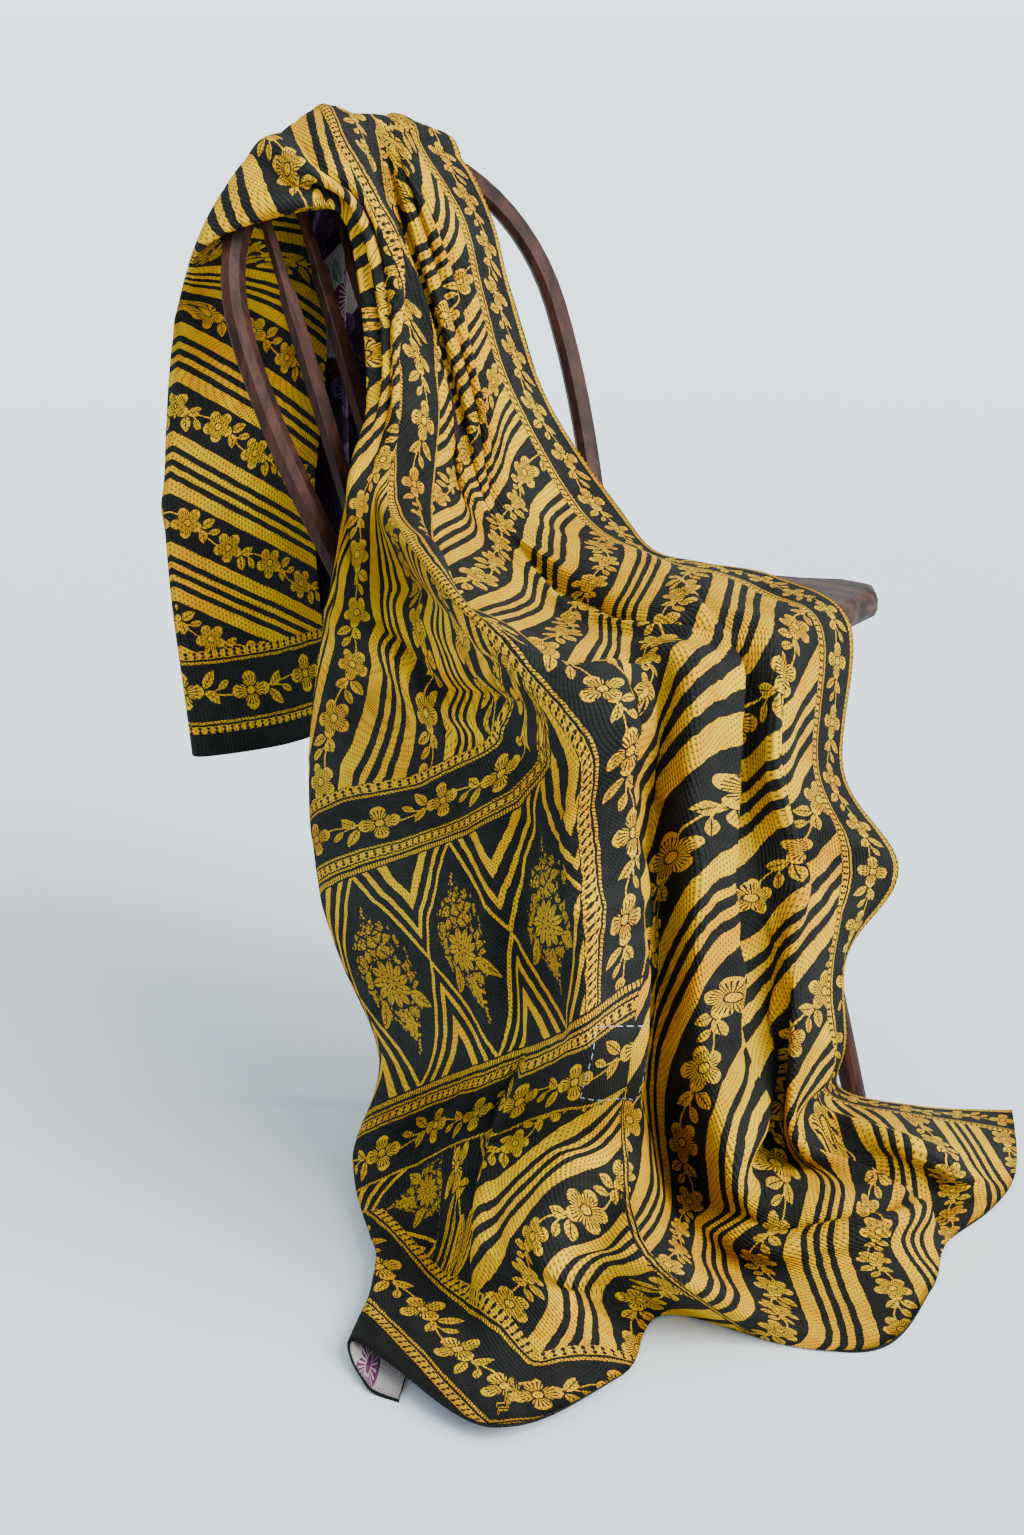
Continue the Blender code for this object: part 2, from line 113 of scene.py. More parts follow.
QUILT_WIDTH = 1.10
QUILT_LENGTH = 2.02
QUILT_THICK = 0.003
QUILT_TO_CHAIR = 0.0055
QUILT_OVER_MARGIN = 0.0125
QUILT_OVER_SEAT_EDGE = 0.009
QUILT_ROLL = 0.25
# The lengthwise folds and their distances across the sheet from its right long edge.
FOLDS = {
    "right_edge": 0.000,
    "right_border": 0.055,
    "first_ridge": 0.150,
    "first_valley": 0.250,
    "deep_crease": 0.350,
    "second_valley": 0.440,
    "vine_inner": 0.500,
    "vine_outer": 0.550,
    "panel_ridge": 0.670,
    "panel_side": 0.800,
    "turned_rim": 0.930,
    "margin_middle": 1.020,
    "margin_edge": 1.100,
}
# How far to the side, back and up each fold lies, in millimetres. There is a row for each section across the
# sheet, in the same order in all three tables. The first one also gives the section's name and its distance
# along the sheet.
SIDE = (
    ("hood_back", 0.47, 115, 95, 70, 45, 20, -5, -30, -50, -88, -132, -190, -135, -50),
    ("crest", 0.56, 110, 90, 66, 46, 28, 4, -14, -30, -86, -138, -200, -135, -60),
    ("hood_front", 0.64, 105, 50, 15, 8, 3, -14, -50, -70, -110, -140, -165, -105, -45),
    ("neck", 0.73, 115, 70, 25, 4, -5, -20, -45, -65, -80, -87, -80, -25, 20),
    ("back_upper", 0.84, 110, 80, 35, 5, -5, -22, -45, -60, -75, -74, -65, -25, 10),
    ("back_middle", 0.95, 120, 55, 15, -2, -14, -30, -60, -90, -108, -112, -102, -60, -10),
    ("back_low", 1.06, 165, 75, 20, -8, -22, -46, -105, -146, -170, -184, -175, -120, -60),
    ("lap", 1.16, 105, 65, 0, -40, -60, -145, -235, -300, -200, -210, -215, -200, -200),
    ("seat", 1.28, 130, 55, -45, -100, -140, -205, -285, -335, -265, -250, -225, -205, -205),
    ("seat_edge", 1.37, 85, 15, -50, -75, -155, -170, -220, -270, -260, -265, -235, -205, -205),
    ("drop_top", 1.46, 70, 0, -60, -65, -160, -160, -225, -290, -275, -280, -245, -205, -205),
    ("drop_high", 1.56, 110, 55, -30, -55, -155, -155, -230, -305, -290, -295, -255, -210, -210),
    ("drop_middle", 1.64, 65, 35, -35, -40, -165, -155, -245, -325, -310, -310, -270, -220, -220),
    ("drop_low", 1.72, 65, 25, -45, -40, -170, -165, -265, -355, -340, -330, -280, -230, -230),
    ("touch", 1.81, 105, 35, -55, -40, -145, -125, -230, -280, -300, -300, -305, -230, -185),
    ("floor_middle", 1.91, 160, 40, 0, -105, -160, -200, -325, -365, -385, -360, -400, -330, -290),
    ("floor_end", 2.02, 230, 155, 75, -30, -95, -205, -245, -265, -370, -500, -490, -515, -510),
)
DEPTH = (
    (350, 365, 370, 358, 368, 362, 367, 364, 362, 355, 332, 322, 335),
    (330, 336, 338, 332, 329, 328, 330, 330, 325, 314, 292, 312, 324),
    (280, 268, 260, 270, 282, 274, 260, 255, 245, 248, 260, 282, 290),
    (255, 240, 225, 232, 250, 243, 230, 220, 222, 232, 252, 273, 273),
    (225, 220, 205, 207, 223, 216, 205, 195, 195, 205, 225, 243, 243),
    (185, 175, 160, 167, 182, 176, 165, 155, 155, 163, 180, 198, 198),
    (135, 128, 120, 126, 145, 136, 115, 110, 113, 126, 145, 160, 160),
    (20, 0, -20, -20, 10, -40, -80, -105, 40, 90, 120, 80, 35),
    (-90, -120, -165, -170, -165, -200, -235, -235, -100, 0, 125, 110, 35),
    (-210, -220, -235, -220, -240, -215, -250, -245, -155, -45, 125, 105, 20),
    (-220, -235, -250, -220, -250, -205, -255, -265, -170, -60, 115, 105, 10),
    (-255, -245, -255, -225, -255, -200, -260, -285, -185, -75, 95, 100, 5),
    (-240, -250, -260, -230, -265, -205, -270, -305, -210, -105, 50, 70, -20),
    (-240, -255, -270, -235, -280, -210, -290, -330, -250, -155, -10, 20, -40),
    (-205, -245, -285, -255, -280, -195, -255, -240, -160, -85, 0, 50, 20),
    (-255, -335, -340, -380, -345, -300, -360, -315, -260, -165, -135, -85, -100),
    (-310, -365, -405, -420, -455, -480, -425, -345, -375, -365, -205, -250, -280),
)
HEIGHT = (
    (795, 805, 815, 818, 818, 818, 820, 820, 803, 770, 745, 772, 815),
    (852, 868, 877, 872, 866, 877, 884, 885, 867, 839, 776, 833, 864),
    (830, 833, 840, 845, 848, 848, 852, 855, 845, 825, 795, 815, 828),
    (780, 777, 775, 775, 775, 778, 790, 800, 805, 808, 800, 795, 788),
    (715, 715, 715, 715, 710, 710, 720, 725, 725, 730, 740, 730, 720),
    (615, 625, 630, 635, 630, 630, 640, 640, 640, 640, 640, 630, 625),
    (515, 520, 530, 535, 540, 540, 560, 565, 565, 565, 560, 550, 545),
    (490, 500, 505, 500, 485, 500, 530, 560, 515, 500, 485, 480, 485),
    (485, 490, 500, 495, 485, 495, 510, 520, 470, 440, 425, 405, 410),
    (470, 480, 480, 465, 490, 460, 475, 445, 425, 400, 360, 345, 355),
    (345, 365, 375, 370, 400, 380, 410, 400, 375, 350, 300, 285, 300),
    (250, 255, 275, 270, 310, 285, 330, 350, 325, 300, 240, 220, 235),
    (180, 185, 205, 205, 245, 225, 280, 305, 280, 250, 190, 165, 180),
    (100, 110, 135, 125, 175, 150, 215, 255, 225, 190, 120, 100, 115),
    (30, 50, 60, 35, 80, 30, 100, 120, 100, 70, 30, 20, 20),
    (10, 50, 20, 55, 30, 12, 90, 80, 70, 20, 20, 5, 5),
    (1, 1, 1, 1, 1, 1, 1, 1, 6, 14, 14, 4, 1),
)
FLAP = ((0.00, 0.295, -0.200), (0.18, 0.510, -0.220), (0.35, 0.685, -0.200))
BACK_FOLDS = 9
FLAP_RIGHT = 0.130
FLAP_BACK_Y = 0.388
FLAP_RIM_Y = 0.335
FLAP_MARGIN_Y = 0.308
PLEAT_DEPTH = 0.034
PLEAT_PITCH = 0.155
PLEATS_END = (0.62, 0.76)
PLEATS_TOP = (0.30, 0.47)

# The dressed sheet.
COLUMNS = 158
ROWS = 292

# Sharp folds read off the photograph: name, depth, half width and the roll beside it in millimetres, and the
# points that the fold runs through, in centimetres across and along the sheet. Where a fold runs along the
# sheet, a roll above zero lies further across than the fold.
CREASES = (
    ("hood", 13, 34, 10, ((45, 60), (45, 70), (45, 76), (51, 84), (57, 91), (56, 97), (51, 106))),
    ("back_middle", 11, 34, 8, ((33, 66), (32, 80), (31, 95), (28, 100), (27, 107), (31, 115))),
    ("back_right", 9, 30, 7, ((17, 60), (15, 72), (15, 84), (14, 96), (17, 106))),
    ("back_inner", 9, 30, 7, ((24, 62), (23, 74), (22, 88), (21, 102), (24, 112))),
    ("back_left", 13, 34, -9, ((92, 70), (92, 86), (93, 95), (84, 108), (79, 120))),
    ("hood_left", 12, 34, 9, ((66, 52), (67, 66), (68, 80), (70, 94), (69, 104))),
    ("hood_outer", 11, 32, 8, ((79, 54), (79, 70), (80, 84), (79, 100))),
    ("margin", 9, 26, 6, ((102, 58), (102, 75), (101, 92), (102, 105))),
    ("lap_fold", 23, 16, 9, ((50, 103), (50, 110), (51, 116), (54, 122), (50, 127), (43, 130), (36, 131))),
    ("lap_tuck", 15, 12, 9, ((30, 111), (34, 118), (30, 124), (23, 130), (19, 132))),
    ("short_tuck", 9, 11, 6, ((10, 122), (15, 128), (20, 133))),
    ("lap_left", 9, 18, 7, ((84, 117), (75, 122), (73, 129), (65, 132), (57, 133))),
    ("upper_left", 7, 17, 3, ((78, 120), (73, 116), (66, 118), (61, 124))),
    ("deep_fold", 19, 13, 11, ((45, 130), (50, 136), (50, 145), (50, 154), (49, 164), (48, 172), (46, 179))),
    ("drop_fold", 21, 11, 12, ((20, 133), (23, 136), (26, 142), (27, 148), (29, 155), (28, 166), (29, 176))),
    ("panel", 9, 16, 6, ((68, 144), (67, 158), (71, 169), (72, 176))),
    ("panel_edge", 7, 11, -6, ((60, 140), (61, 150), (60, 158), (60, 166))),
    ("corner_left", 13, 14, -9, ((70, 170), (68, 177), (68, 182), (71, 188), (77, 193), (79, 197))),
    ("corner_seam", 10, 19, 8, ((50, 175), (52, 186), (55, 196), (63, 201))),
    ("right_drop", 17, 13, 11, ((17, 166), (23, 175), (28, 181), (35, 186))),
    ("right_edge", 9, 12, 6, ((2, 162), (4, 170), (4, 177), (13, 180))),
    ("lobe_valley", 19, 13, 15, ((13, 179), (13, 183), (14, 187), (16, 191), (18, 196), (23, 201))),
    ("lobe_tube", 7, 12, -13, ((10, 180), (10, 187), (11, 193), (17, 199))),
    ("drop_right", 9, 13, 6, ((12, 135), (13, 145), (11, 155), (14, 162))),
    ("floor_swag", 15, 16, 12, ((42, 184), (34, 190), (25, 192), (18, 196))),
)
CREASE_SCALE = 1.3
CREASE_REACH = 8
# The roll's distance from the fold and its half width, as shares of the fold's half width.
ROLL_PLACE = 1.9
ROLL_WIDTH = 1.1
# Small wrinkles: how many there are, their shape in metres, the stretch along the sheet that is kept free of
# them, and how far a wrinkle that would start there is moved.
WRINKLES = 130
WRINKLE_SEED = 5
WRINKLE_LENGTHS = (0.035, 0.11)
WRINKLE_WIDTHS = (0.008, 0.014)
WRINKLE_RISES = (0.002, 0.0065)
WRINKLE_LEAN = (0.35, 0.55)
WRINKLE_BEND = 0.25
WRINKLE_ROUND = 0.004
GATHERED = (0.55, 1.12)
PAST_GATHERED = 0.70
FLOOR_FROM = 1.75
# Where the sheet already stands on edge beside the lap, so that a crease there would turn it over.
STEEP_PLACE = (0.560, 1.235)
STEEP_REACH = (0.075, 0.080)
STEEP_FREE = 0.9

# The coarse grid that the sheet is laid flat on, and how far each step of that moves a point.
COARSE = (57, 36)
RELAX_GAIN = 1.6

PLACE_MAP = "OFBake"
FACE_SHARE = 0.78
REVERSE_FROM = 0.80


# ---- the draped shape, as part.py makes it


def on_back(u, v):
    """A point of the leaning back plane: u across, v up it from the seat."""
    return (u, BACK_FOOT_Y + v * math.sin(BACK_LEAN), SEAT_TOP + v * math.cos(BACK_LEAN))


def bow_outline():
    """The bow's outer edge in the back plane, right foot to left foot."""
    rise = []
    for i in range(BOW_SHOULDER_POINTS):
        v = BOW_WIDEST_AT * i / BOW_SHOULDER_POINTS
        swell = math.sin(0.5 * math.pi * v / BOW_WIDEST_AT)
        rise.append((BOW_FOOT_HALF + (BOW_WIDEST_HALF - BOW_FOOT_HALF) * swell, v))
    top = []
    power = 2.0 / BOW_ROUNDNESS
    for i in range(BOW_TOP_POINTS + 1):
        angle = math.pi * i / BOW_TOP_POINTS
        across = abs(math.cos(angle)) ** power * math.copysign(1.0, math.cos(angle))
        v = BOW_WIDEST_AT + (BOW_HEIGHT - BOW_WIDEST_AT) * math.sin(angle) ** power
        top.append((BOW_WIDEST_HALF * across, v))
    return rise + top + [(-u, v) for u, v in reversed(rise)]


def bow_centreline():
    edge = bow_outline()
    centre = []
    for i, (u, v) in enumerate(edge):
        before = edge[max(i - 1, 0)]
        after = edge[min(i + 1, len(edge) - 1)]
        du = after[0] - before[0]
        dv = after[1] - before[1]
        size = math.hypot(du, dv)
        centre.append((u - BOW_WIDTH / 2 * dv / size, v + BOW_WIDTH / 2 * du / size))
    return centre


def slat_ends():
    """Foot and head of each slat, left to right. The heads stop at the bow."""
    ends = []
    for i in range(SLAT_COUNT):
        u = (i - (SLAT_COUNT - 1) / 2) * SLAT_PITCH
        share = min(1.0, abs(u) / BOW_WIDEST_HALF)
        rise = (1.0 - share**BOW_ROUNDNESS) ** (1.0 / BOW_ROUNDNESS)
        v = BOW_WIDEST_AT + (BOW_HEIGHT - BOW_WIDEST_AT) * rise - BOW_WIDTH
        ends.append((on_back(u, GAP), on_back(u, v)))
    return ends


def leg_ends(name):
    top_x, top_y, foot_x, foot_y = LEGS[name]
    return (foot_x, foot_y, 0.0), (top_x, top_y, SEAT_TOP - SEAT_THICK - GAP)


def seat_outline():
    return list(SEAT_HALF_OUTLINE) + [(-x, y) for x, y in reversed(SEAT_HALF_OUTLINE[1:-1])]


def roll_over(values, rim):
    """The direction in which the sheet rolls round at a rim, between the layers on either side of it."""
    before = values[rim - 1]
    after = values[rim + 1]
    layer = 2 * values[rim] - before - after
    layer /= np.linalg.norm(layer, axis=-1, keepdims=True)
    through = after - before
    through -= (through * layer).sum(axis=-1, keepdims=True) * layer
    return QUILT_ROLL * through / np.linalg.norm(through, axis=-1, keepdims=True)


def smooth_through(at, knots, values, rim=None):
    """A smooth curve through values at uneven knots. At a rim it turns back in a small round roll."""
    steps = np.diff(knots)
    steps = steps.reshape((-1,) + (1,) * (values.ndim - 1))
    slopes = np.diff(values, axis=0) / steps
    tangents = np.empty_like(values)
    tangents[0] = slopes[0]
    tangents[-1] = slopes[-1]
    weight = steps[1:] / (steps[:-1] + steps[1:])
    tangents[1:-1] = weight * slopes[:-1] + (1 - weight) * slopes[1:]
    if rim is not None:
        tangents[rim] = roll_over(values, rim)
    i = np.clip(np.searchsorted(knots, at, side="right") - 1, 0, len(knots) - 2)
    step = steps[i]
    u = ((at - knots[i]).reshape(step.shape)) / step
    return (
        (2 * u**3 - 3 * u**2 + 1) * values[i]
        + (u**3 - 2 * u**2 + u) * step * tangents[i]
        + (3 * u**2 - 2 * u**3) * values[i + 1]
        + (u**3 - u**2) * step * tangents[i + 1]
    )


def smooth_grid(grid, knots, places, rim=None):
    """A grid that is smooth both ways, from knots and to places that are given as (along, across)."""
    grid = smooth_through(places[0], knots[0], grid)
    return np.swapaxes(smooth_through(places[1], knots[1], np.swapaxes(grid, 0, 1), rim), 0, 1)


def flap_section(height, rim_x):
    """The folds' places across the flap behind the chair, at one height."""
    section = []
    for across in list(FOLDS.values())[:BACK_FOLDS]:
        x = FLAP_RIGHT + (rim_x + 0.060 - FLAP_RIGHT) * across / FOLDS["panel_ridge"]
        section.append((x, FLAP_BACK_Y, height))
    section.append((rim_x + 0.035, FLAP_BACK_Y - 0.015, height))
    section.append((rim_x, FLAP_RIM_Y, height))
    section.append((rim_x + 0.080, FLAP_MARGIN_Y, height))
    section.append((rim_x + 0.155, FLAP_MARGIN_Y + 0.007, height))
    return section


def fade(value, limits):
    """One before the limits, zero after them, and a smooth step between."""
    u = np.clip((value - limits[0]) / (limits[1] - limits[0]), 0.0, 1.0)
    return 1.0 - u * u * (3.0 - 2.0 * u)


def pleat_flap(grid, along, across):
    """Hangs the flap in even pleats, which die out towards its margin and towards the bow."""
    wave = np.sin(2 * math.pi * across / PLEAT_PITCH) * fade(across, PLEATS_END)
    grid[:, :, 1] += PLEAT_DEPTH * fade(along, PLEATS_TOP)[:, None] * wave


def quilt_sections():
    """The sections' distances along the sheet, and the place of every fold in each."""
    along = [row[0] for row in FLAP]
    points = [flap_section(*row[1:]) for row in FLAP]
    for (_, distance, *side), depth, height in zip(SIDE, DEPTH, HEIGHT):
        along.append(distance)
        points.append([(x / 1000, y / 1000, z / 1000) for x, y, z in zip(side, depth, height)])
    return np.array(along), np.array(points)


def chair_rods():
    """The chair as rods for clearance: (foot, top, foot radius, top radius)."""
    rods = []
    centre = [on_back(u, v) for u, v in bow_centreline()]
    for a, b in zip(centre[:-1], centre[1:]):
        rods.append((a, b, BOW_WIDTH / 2, BOW_WIDTH / 2))
    for foot, top in slat_ends():
        rods.append((foot, top, SLAT_FOOT_RADIUS, SLAT_HEAD_RADIUS))
    for name in LEGS:
        foot, top = leg_ends(name)
        rods.append((foot, top, LEG_FOOT_RADIUS, LEG_TOP_RADIUS))
    return rods


def off_line(points, start, end):
    """How far along a straight line each point lies, as a share, then the way out to it and its distance."""
    axis = end - start
    along = np.clip((points - start) @ axis / (axis @ axis), 0.0, 1.0)
    away = points - start - along[:, None] * axis
    return along, away, np.linalg.norm(away, axis=1)


def push_off_rods(points, rods, clearance):
    """Moves points straight away from any rod that is nearer than the clearance."""
    for foot, top, foot_radius, top_radius in rods:
        along, away, gap = off_line(points, np.array(foot), np.array(top))
        wanted = foot_radius + (top_radius - foot_radius) * along + clearance
        near = gap < wanted
        points[near] += away[near] / gap[near, None] * (wanted - gap)[near, None]


def seat_distance(points):
    """Signed distance from the seat slab's outline in plan, and the plan direction out of it."""
    outline = np.array(seat_outline())
    ahead = np.roll(outline, -1, axis=0)
    best = np.full(len(points), FAR)
    out = np.zeros((len(points), 2))
    inside = np.zeros(len(points), bool)
    flat = points[:, :2]
    for a, b in zip(outline, ahead):
        _, away, gap = off_line(flat, a, b)
        nearer = gap < best
        best[nearer] = gap[nearer]
        out[nearer] = away[nearer]
        crosses = (a[1] > flat[:, 1]) != (b[1] > flat[:, 1])
        with np.errstate(divide="ignore", invalid="ignore"):
            at = a[0] + (flat[:, 1] - a[1]) * (b - a)[0] / (b - a)[1]
        inside ^= crosses & (flat[:, 0] < at)
    out /= np.maximum(np.linalg.norm(out, axis=1), 1e-9)[:, None]
    out[inside] *= -1
    return np.where(inside, -best, best), out


def push_off_seat(points, clearance):
    """Moves points out of the seat slab, up, down or outwards, whichever is nearest."""
    plan, out = seat_distance(points)
    middle = SEAT_TOP - SEAT_THICK / 2
    rise = points[:, 2] - middle
    level = np.abs(rise) - SEAT_THICK / 2
    near = (plan < clearance) & (level < clearance)
    corner = near & (plan > 0) & (level > 0)
    sideways = near & ~corner & (plan > level)
    upright = near & ~corner & ~sideways
    points[sideways, :2] += out[sideways] * (clearance - plan)[sideways, None]
    lift = np.sign(rise) * (clearance - level)
    points[upright, 2] += lift[upright]
    size = np.hypot(plan, level)
    short = corner & (size < clearance)
    push = (clearance - size)[short] / size[short]
    points[short, :2] += out[short] * (plan[short] * push)[:, None]
    points[short, 2] += (np.sign(rise) * level)[short] * push


def clear_of_chair(grid, across):
    """Keeps the sheet off the chair and the floor."""
    rods = chair_rods()
    turned = across > FOLDS["turned_rim"]
    for clearance, columns in ((QUILT_OVER_MARGIN, ~turned), (QUILT_TO_CHAIR, turned)):
        part = grid[:, columns].reshape(-1, 3)
        push_off_seat(part, max(clearance, QUILT_OVER_SEAT_EDGE))
        push_off_rods(part, rods, clearance)
        grid[:, columns] = part.reshape(len(grid), -1, 3)
    grid[:, :, 2] = np.maximum(grid[:, :, 2], QUILT_THICK / 2)


def draped_surface(along, across):
    """The sheet's middle surface before its creases: rows along it, columns across it."""
    distances, sections = quilt_sections()
    folds = np.array(list(FOLDS.values()))
    rim = list(FOLDS).index("turned_rim")
    grid = smooth_grid(sections, (distances, folds), (along, across), rim)
    pleat_flap(grid, along, across)
    return grid


def fold_line(across, along, points):
    """How far every point of the sheet is from a line of points, on which side, and a fade at its ends."""
    s, t = np.meshgrid(across, along)
    best = np.full(s.shape, FAR)
    side = np.zeros_like(s)
    at = np.zeros_like(s)
    start = 0.0
    for (s0, t0), (s1, t1) in zip(points[:-1], points[1:]):
        length = math.hypot(s1 - s0, t1 - t0)
        u, v = (s1 - s0) / length, (t1 - t0) / length
        forward = np.clip((s - s0) * u + (t - t0) * v, 0.0, length)
        off_s, off_t = s - s0 - forward * u, t - t0 - forward * v
        gap = np.hypot(off_s, off_t)
        nearer = gap < best
        best[nearer] = gap[nearer]
        side[nearer] = (off_s * v - off_t * u)[nearer]
        at[nearer] = (start + forward)[nearer]
        start += length
    ends = 1.0 - fade(np.minimum(at, start - at), (-0.02, 0.30 * start))
    return best, side, ends


def crease_heights(across, along):
    """How far the sheet stands out of its broad drape: sharp folds, the rolls beside them and wrinkles."""
    height = np.zeros((len(along), len(across)))
    for _, depth, width, roll, points in CREASES:
        gap, side, ends = fold_line(across, along, [(s / 100, t / 100) for s, t in points])
        wide = width / 1000
        valley = depth / 1000 * np.exp(-gap / wide)
        from_roll = (side * math.copysign(1, roll) - ROLL_PLACE * wide) / (ROLL_WIDTH * wide)
        beside = abs(roll) / 1000 * np.exp(-(from_roll**2))
        height += ends * (beside - valley) * np.where(gap < CREASE_REACH * wide, 1.0, 0.0)
    chance = np.random.default_rng(WRINKLE_SEED)
    s, t = np.meshgrid(across, along)
    for _ in range(WRINKLES):
        s0, t0 = chance.uniform(0.0, QUILT_WIDTH), chance.uniform(0.03, QUILT_LENGTH)
        if GATHERED[0] < t0 < GATHERED[1]:
            t0 += PAST_GATHERED
        lying = t0 >= FLOOR_FROM
        heading = chance.uniform(0.0, math.pi) if lying else math.pi / 2 + chance.normal(*WRINKLE_LEAN)
        length = chance.uniform(*WRINKLE_LENGTHS)
        width = chance.uniform(*WRINKLE_WIDTHS)
        rise = chance.uniform(*WRINKLE_RISES) * chance.choice((-1.0, 1.0))
        u, v = math.cos(heading), math.sin(heading)
        forward = ((s - s0) * u + (t - t0) * v) / length
        off = (t - t0) * u - (s - s0) * v + WRINKLE_BEND * length * forward**2
        height += rise * np.exp(-np.sqrt(off**2 + WRINKLE_ROUND**2) / width) * np.exp(-(forward**2))
    off_s, off_t = (s - STEEP_PLACE[0]) / STEEP_REACH[0], (t - STEEP_PLACE[1]) / STEEP_REACH[1]
    return height * (1.0 - STEEP_FREE * np.exp(-(off_s**2) - off_t**2))


# ---- print coordinates


def blur(values, axis, sigma):
    """A soft average along one axis, with the ends held."""
    reach = int(3 * sigma)
    kernel = np.exp(-0.5 * (np.arange(-reach, reach + 1) / sigma) ** 2)
    kernel /= kernel.sum()
    ends = [np.repeat(values.take([end], axis), reach, axis) for end in (0, -1)]
    padded = np.concatenate([ends[0], values, ends[1]], axis)
    total = np.zeros_like(values)
    for k, weight in enumerate(kernel):
        total += weight * padded.take(range(k, k + values.shape[axis]), axis)
    return total


def arc_lengths(grid):
    """Metres of cloth across from the right edge, and along from the flap's hem, at every point."""
    across = np.linalg.norm(np.diff(grid, axis=1), axis=2)
    along = np.linalg.norm(np.diff(grid, axis=0), axis=2)
    across = blur(np.pad(across, ((0, 0), (1, 0))), 0, 6.0)
    along = blur(np.pad(along, ((1, 0), (0, 0))), 1, 8.0)
    return across.cumsum(axis=1), along.cumsum(axis=0)


def link_ends(values, down, over):
    """The two ends of every link of one kind, as views of the grid that can be added to."""
    rows, columns = values.shape[:2]
    first = values[: rows - down, max(0, -over) : columns - max(0, over)]
    return first, values[down:, max(0, over) : columns - max(0, -over)]


def relax(flat, grid, steps):
    """Moves the points of a flat sheet until its small lengths are those of the draped one."""
    # Each kind of link: rows down, columns over, weight.
    links = ((1, 0, 1.0), (0, 1, 1.0), (1, 1, 0.5), (1, -1, 0.5))
    rests = []
    count = np.zeros(flat.shape[:2])
    for down, over, weight in links:
        first, second = link_ends(grid, down, over)
        rests.append(np.linalg.norm(second - first, axis=2))
        for end in link_ends(count, down, over):
            end += weight
    for _ in range(steps):
        move = np.zeros_like(flat)
        for (down, over, weight), rest in zip(links, rests):
            first, second = link_ends(flat, down, over)
            gap = second - first
            size = np.maximum(np.linalg.norm(gap, axis=2), 1e-9)
            shift = (0.5 * weight * (size - rest) / size)[..., None] * gap
            start, end = link_ends(move, down, over)
            start += shift
            end -= shift
        flat = flat + move * (RELAX_GAIN / count)[..., None]
    return flat


def resized(values, rows, columns):
    for axis, size in enumerate((rows, columns)):
        at = np.linspace(0, values.shape[axis] - 1, size)
        low = np.minimum(at.astype(int), values.shape[axis] - 2)
        share = (at - low).reshape((-1, 1, 1) if axis == 0 else (1, -1, 1))
        values = values.take(low, axis) * (1 - share) + values.take(low + 1, axis) * share
    return values


def laid_flat(across, along):
    """The draped sheet laid flat on a table: two distances for every point."""
    rows, columns = COARSE
    down, over = np.linspace(0, QUILT_LENGTH, rows), np.linspace(0, QUILT_WIDTH, columns)
    grid = draped_surface(down, over)
    start = np.stack(np.meshgrid(over, down), -1)
    flat = start
    for rows, columns, steps in ((15, 9, 400), (29, 18, 400), (*COARSE, 500)):
        flat = relax(resized(flat, rows, columns), resized(grid, rows, columns), steps)
    flat = start + blur(blur(flat - start, 0, 2.5), 1, 2.5)
    return smooth_grid(flat, (down, over), (along, across))


# Where each flower band of the stripes lies over the laid-out sheet, in metres, read off the photograph.
STRIPE_PLACES = (-0.581, -0.091, 0.015, 0.100, 0.195, 0.275, 0.370, 0.455, 0.587, 0.695, 0.805, 1.305)
STRIPE_COUNTS = (-6, -1, 0, 1, 2, 3, 4, 5, 6, 7, 8, 13)
STRIPE_SLOPE = math.radians(54)
FLOOR_SLOPE = math.radians(30)
FLAP_SLOPE = math.radians(30)
CORNER_SLOPE = math.radians(28)
PERIOD = 0.0975
FLOOR_PERIOD = 0.075
FLAP_PERIOD = 0.0865
CORNER_PERIOD = 0.108
# Where a repeat holds its lane of flowers, and where the count of lanes and of flowers starts in each
# region. The floor and the flap take over from the stripes between two distances along the sheet.
FLOWER_LANE = 0.785
LANE_START = 1.66
FLOOR_MIDDLE = (0.40, 1.76)
FLOOR_LANES = (0.080, 8)
FLOOR_ALONG = (1.80, 1.92)
FLOOR_START = 1.659
FLAP_LANES = 6.573
FLAP_ALONG = (0.38, 0.54)
FLAP_START = 0.9
CORNER_LANES = 1.288
VINE_LINE = 0.560
VINE_MIDDLE = 0.038
# The cross bands of the left panel, as distances down the laid-out sheet.
BAND_1_TOP = ((0.53, 1.358), (0.62, 1.327), (0.68, 1.309), (0.73, 1.301), (0.78, 1.290))
BAND_1_END = 1.376
BAND_2_TOP = 1.561
BAND_2_END = 1.656
CORNER_DOWN = (1.60, 1.69, 1.74, 1.78, 1.82, 1.85, 1.90)
CORNER_FRAME = (0.680, 0.682, 0.704, 0.729, 0.744, 0.740, 0.725)
BEAD_SIDE = 0.0430
LADDER_SIDE = 0.0575
ROPE_SIDE = 0.0315
BORDER = 0.108
# Two straight lines on the floor, each through a point of the plan in its own direction: the bead row of the
# end border at the left corner, and the rope along the bottom of the corner block.
LEFT_LINE = ((-0.468, -0.230), math.radians(-106))
LOW_LINE = ((-0.438, -0.315), math.radians(-27.6))
BEAD_LINE = 0.0285
# The two folds of the drop that hide cloth, as (distance along, distance across), the line that the stripes
# past the second one end at, the share of the cloth that is hidden, and where that sets in and fades out.
INNER_FOLD = ((1.30, 0.45), (1.36, 0.50), (1.54, 0.50), (1.64, 0.49), (1.72, 0.48), (1.79, 0.46))
MIDDLE_FOLD = ((1.33, 0.20), (1.36, 0.23), (1.42, 0.26), (1.48, 0.27), (1.55, 0.29), (1.66, 0.28))
DROP_EDGE = 0.06
TUCKED = 0.20
TUCK_TOP = (1.34, 1.42)
TUCK_END = (1.74, 1.82)
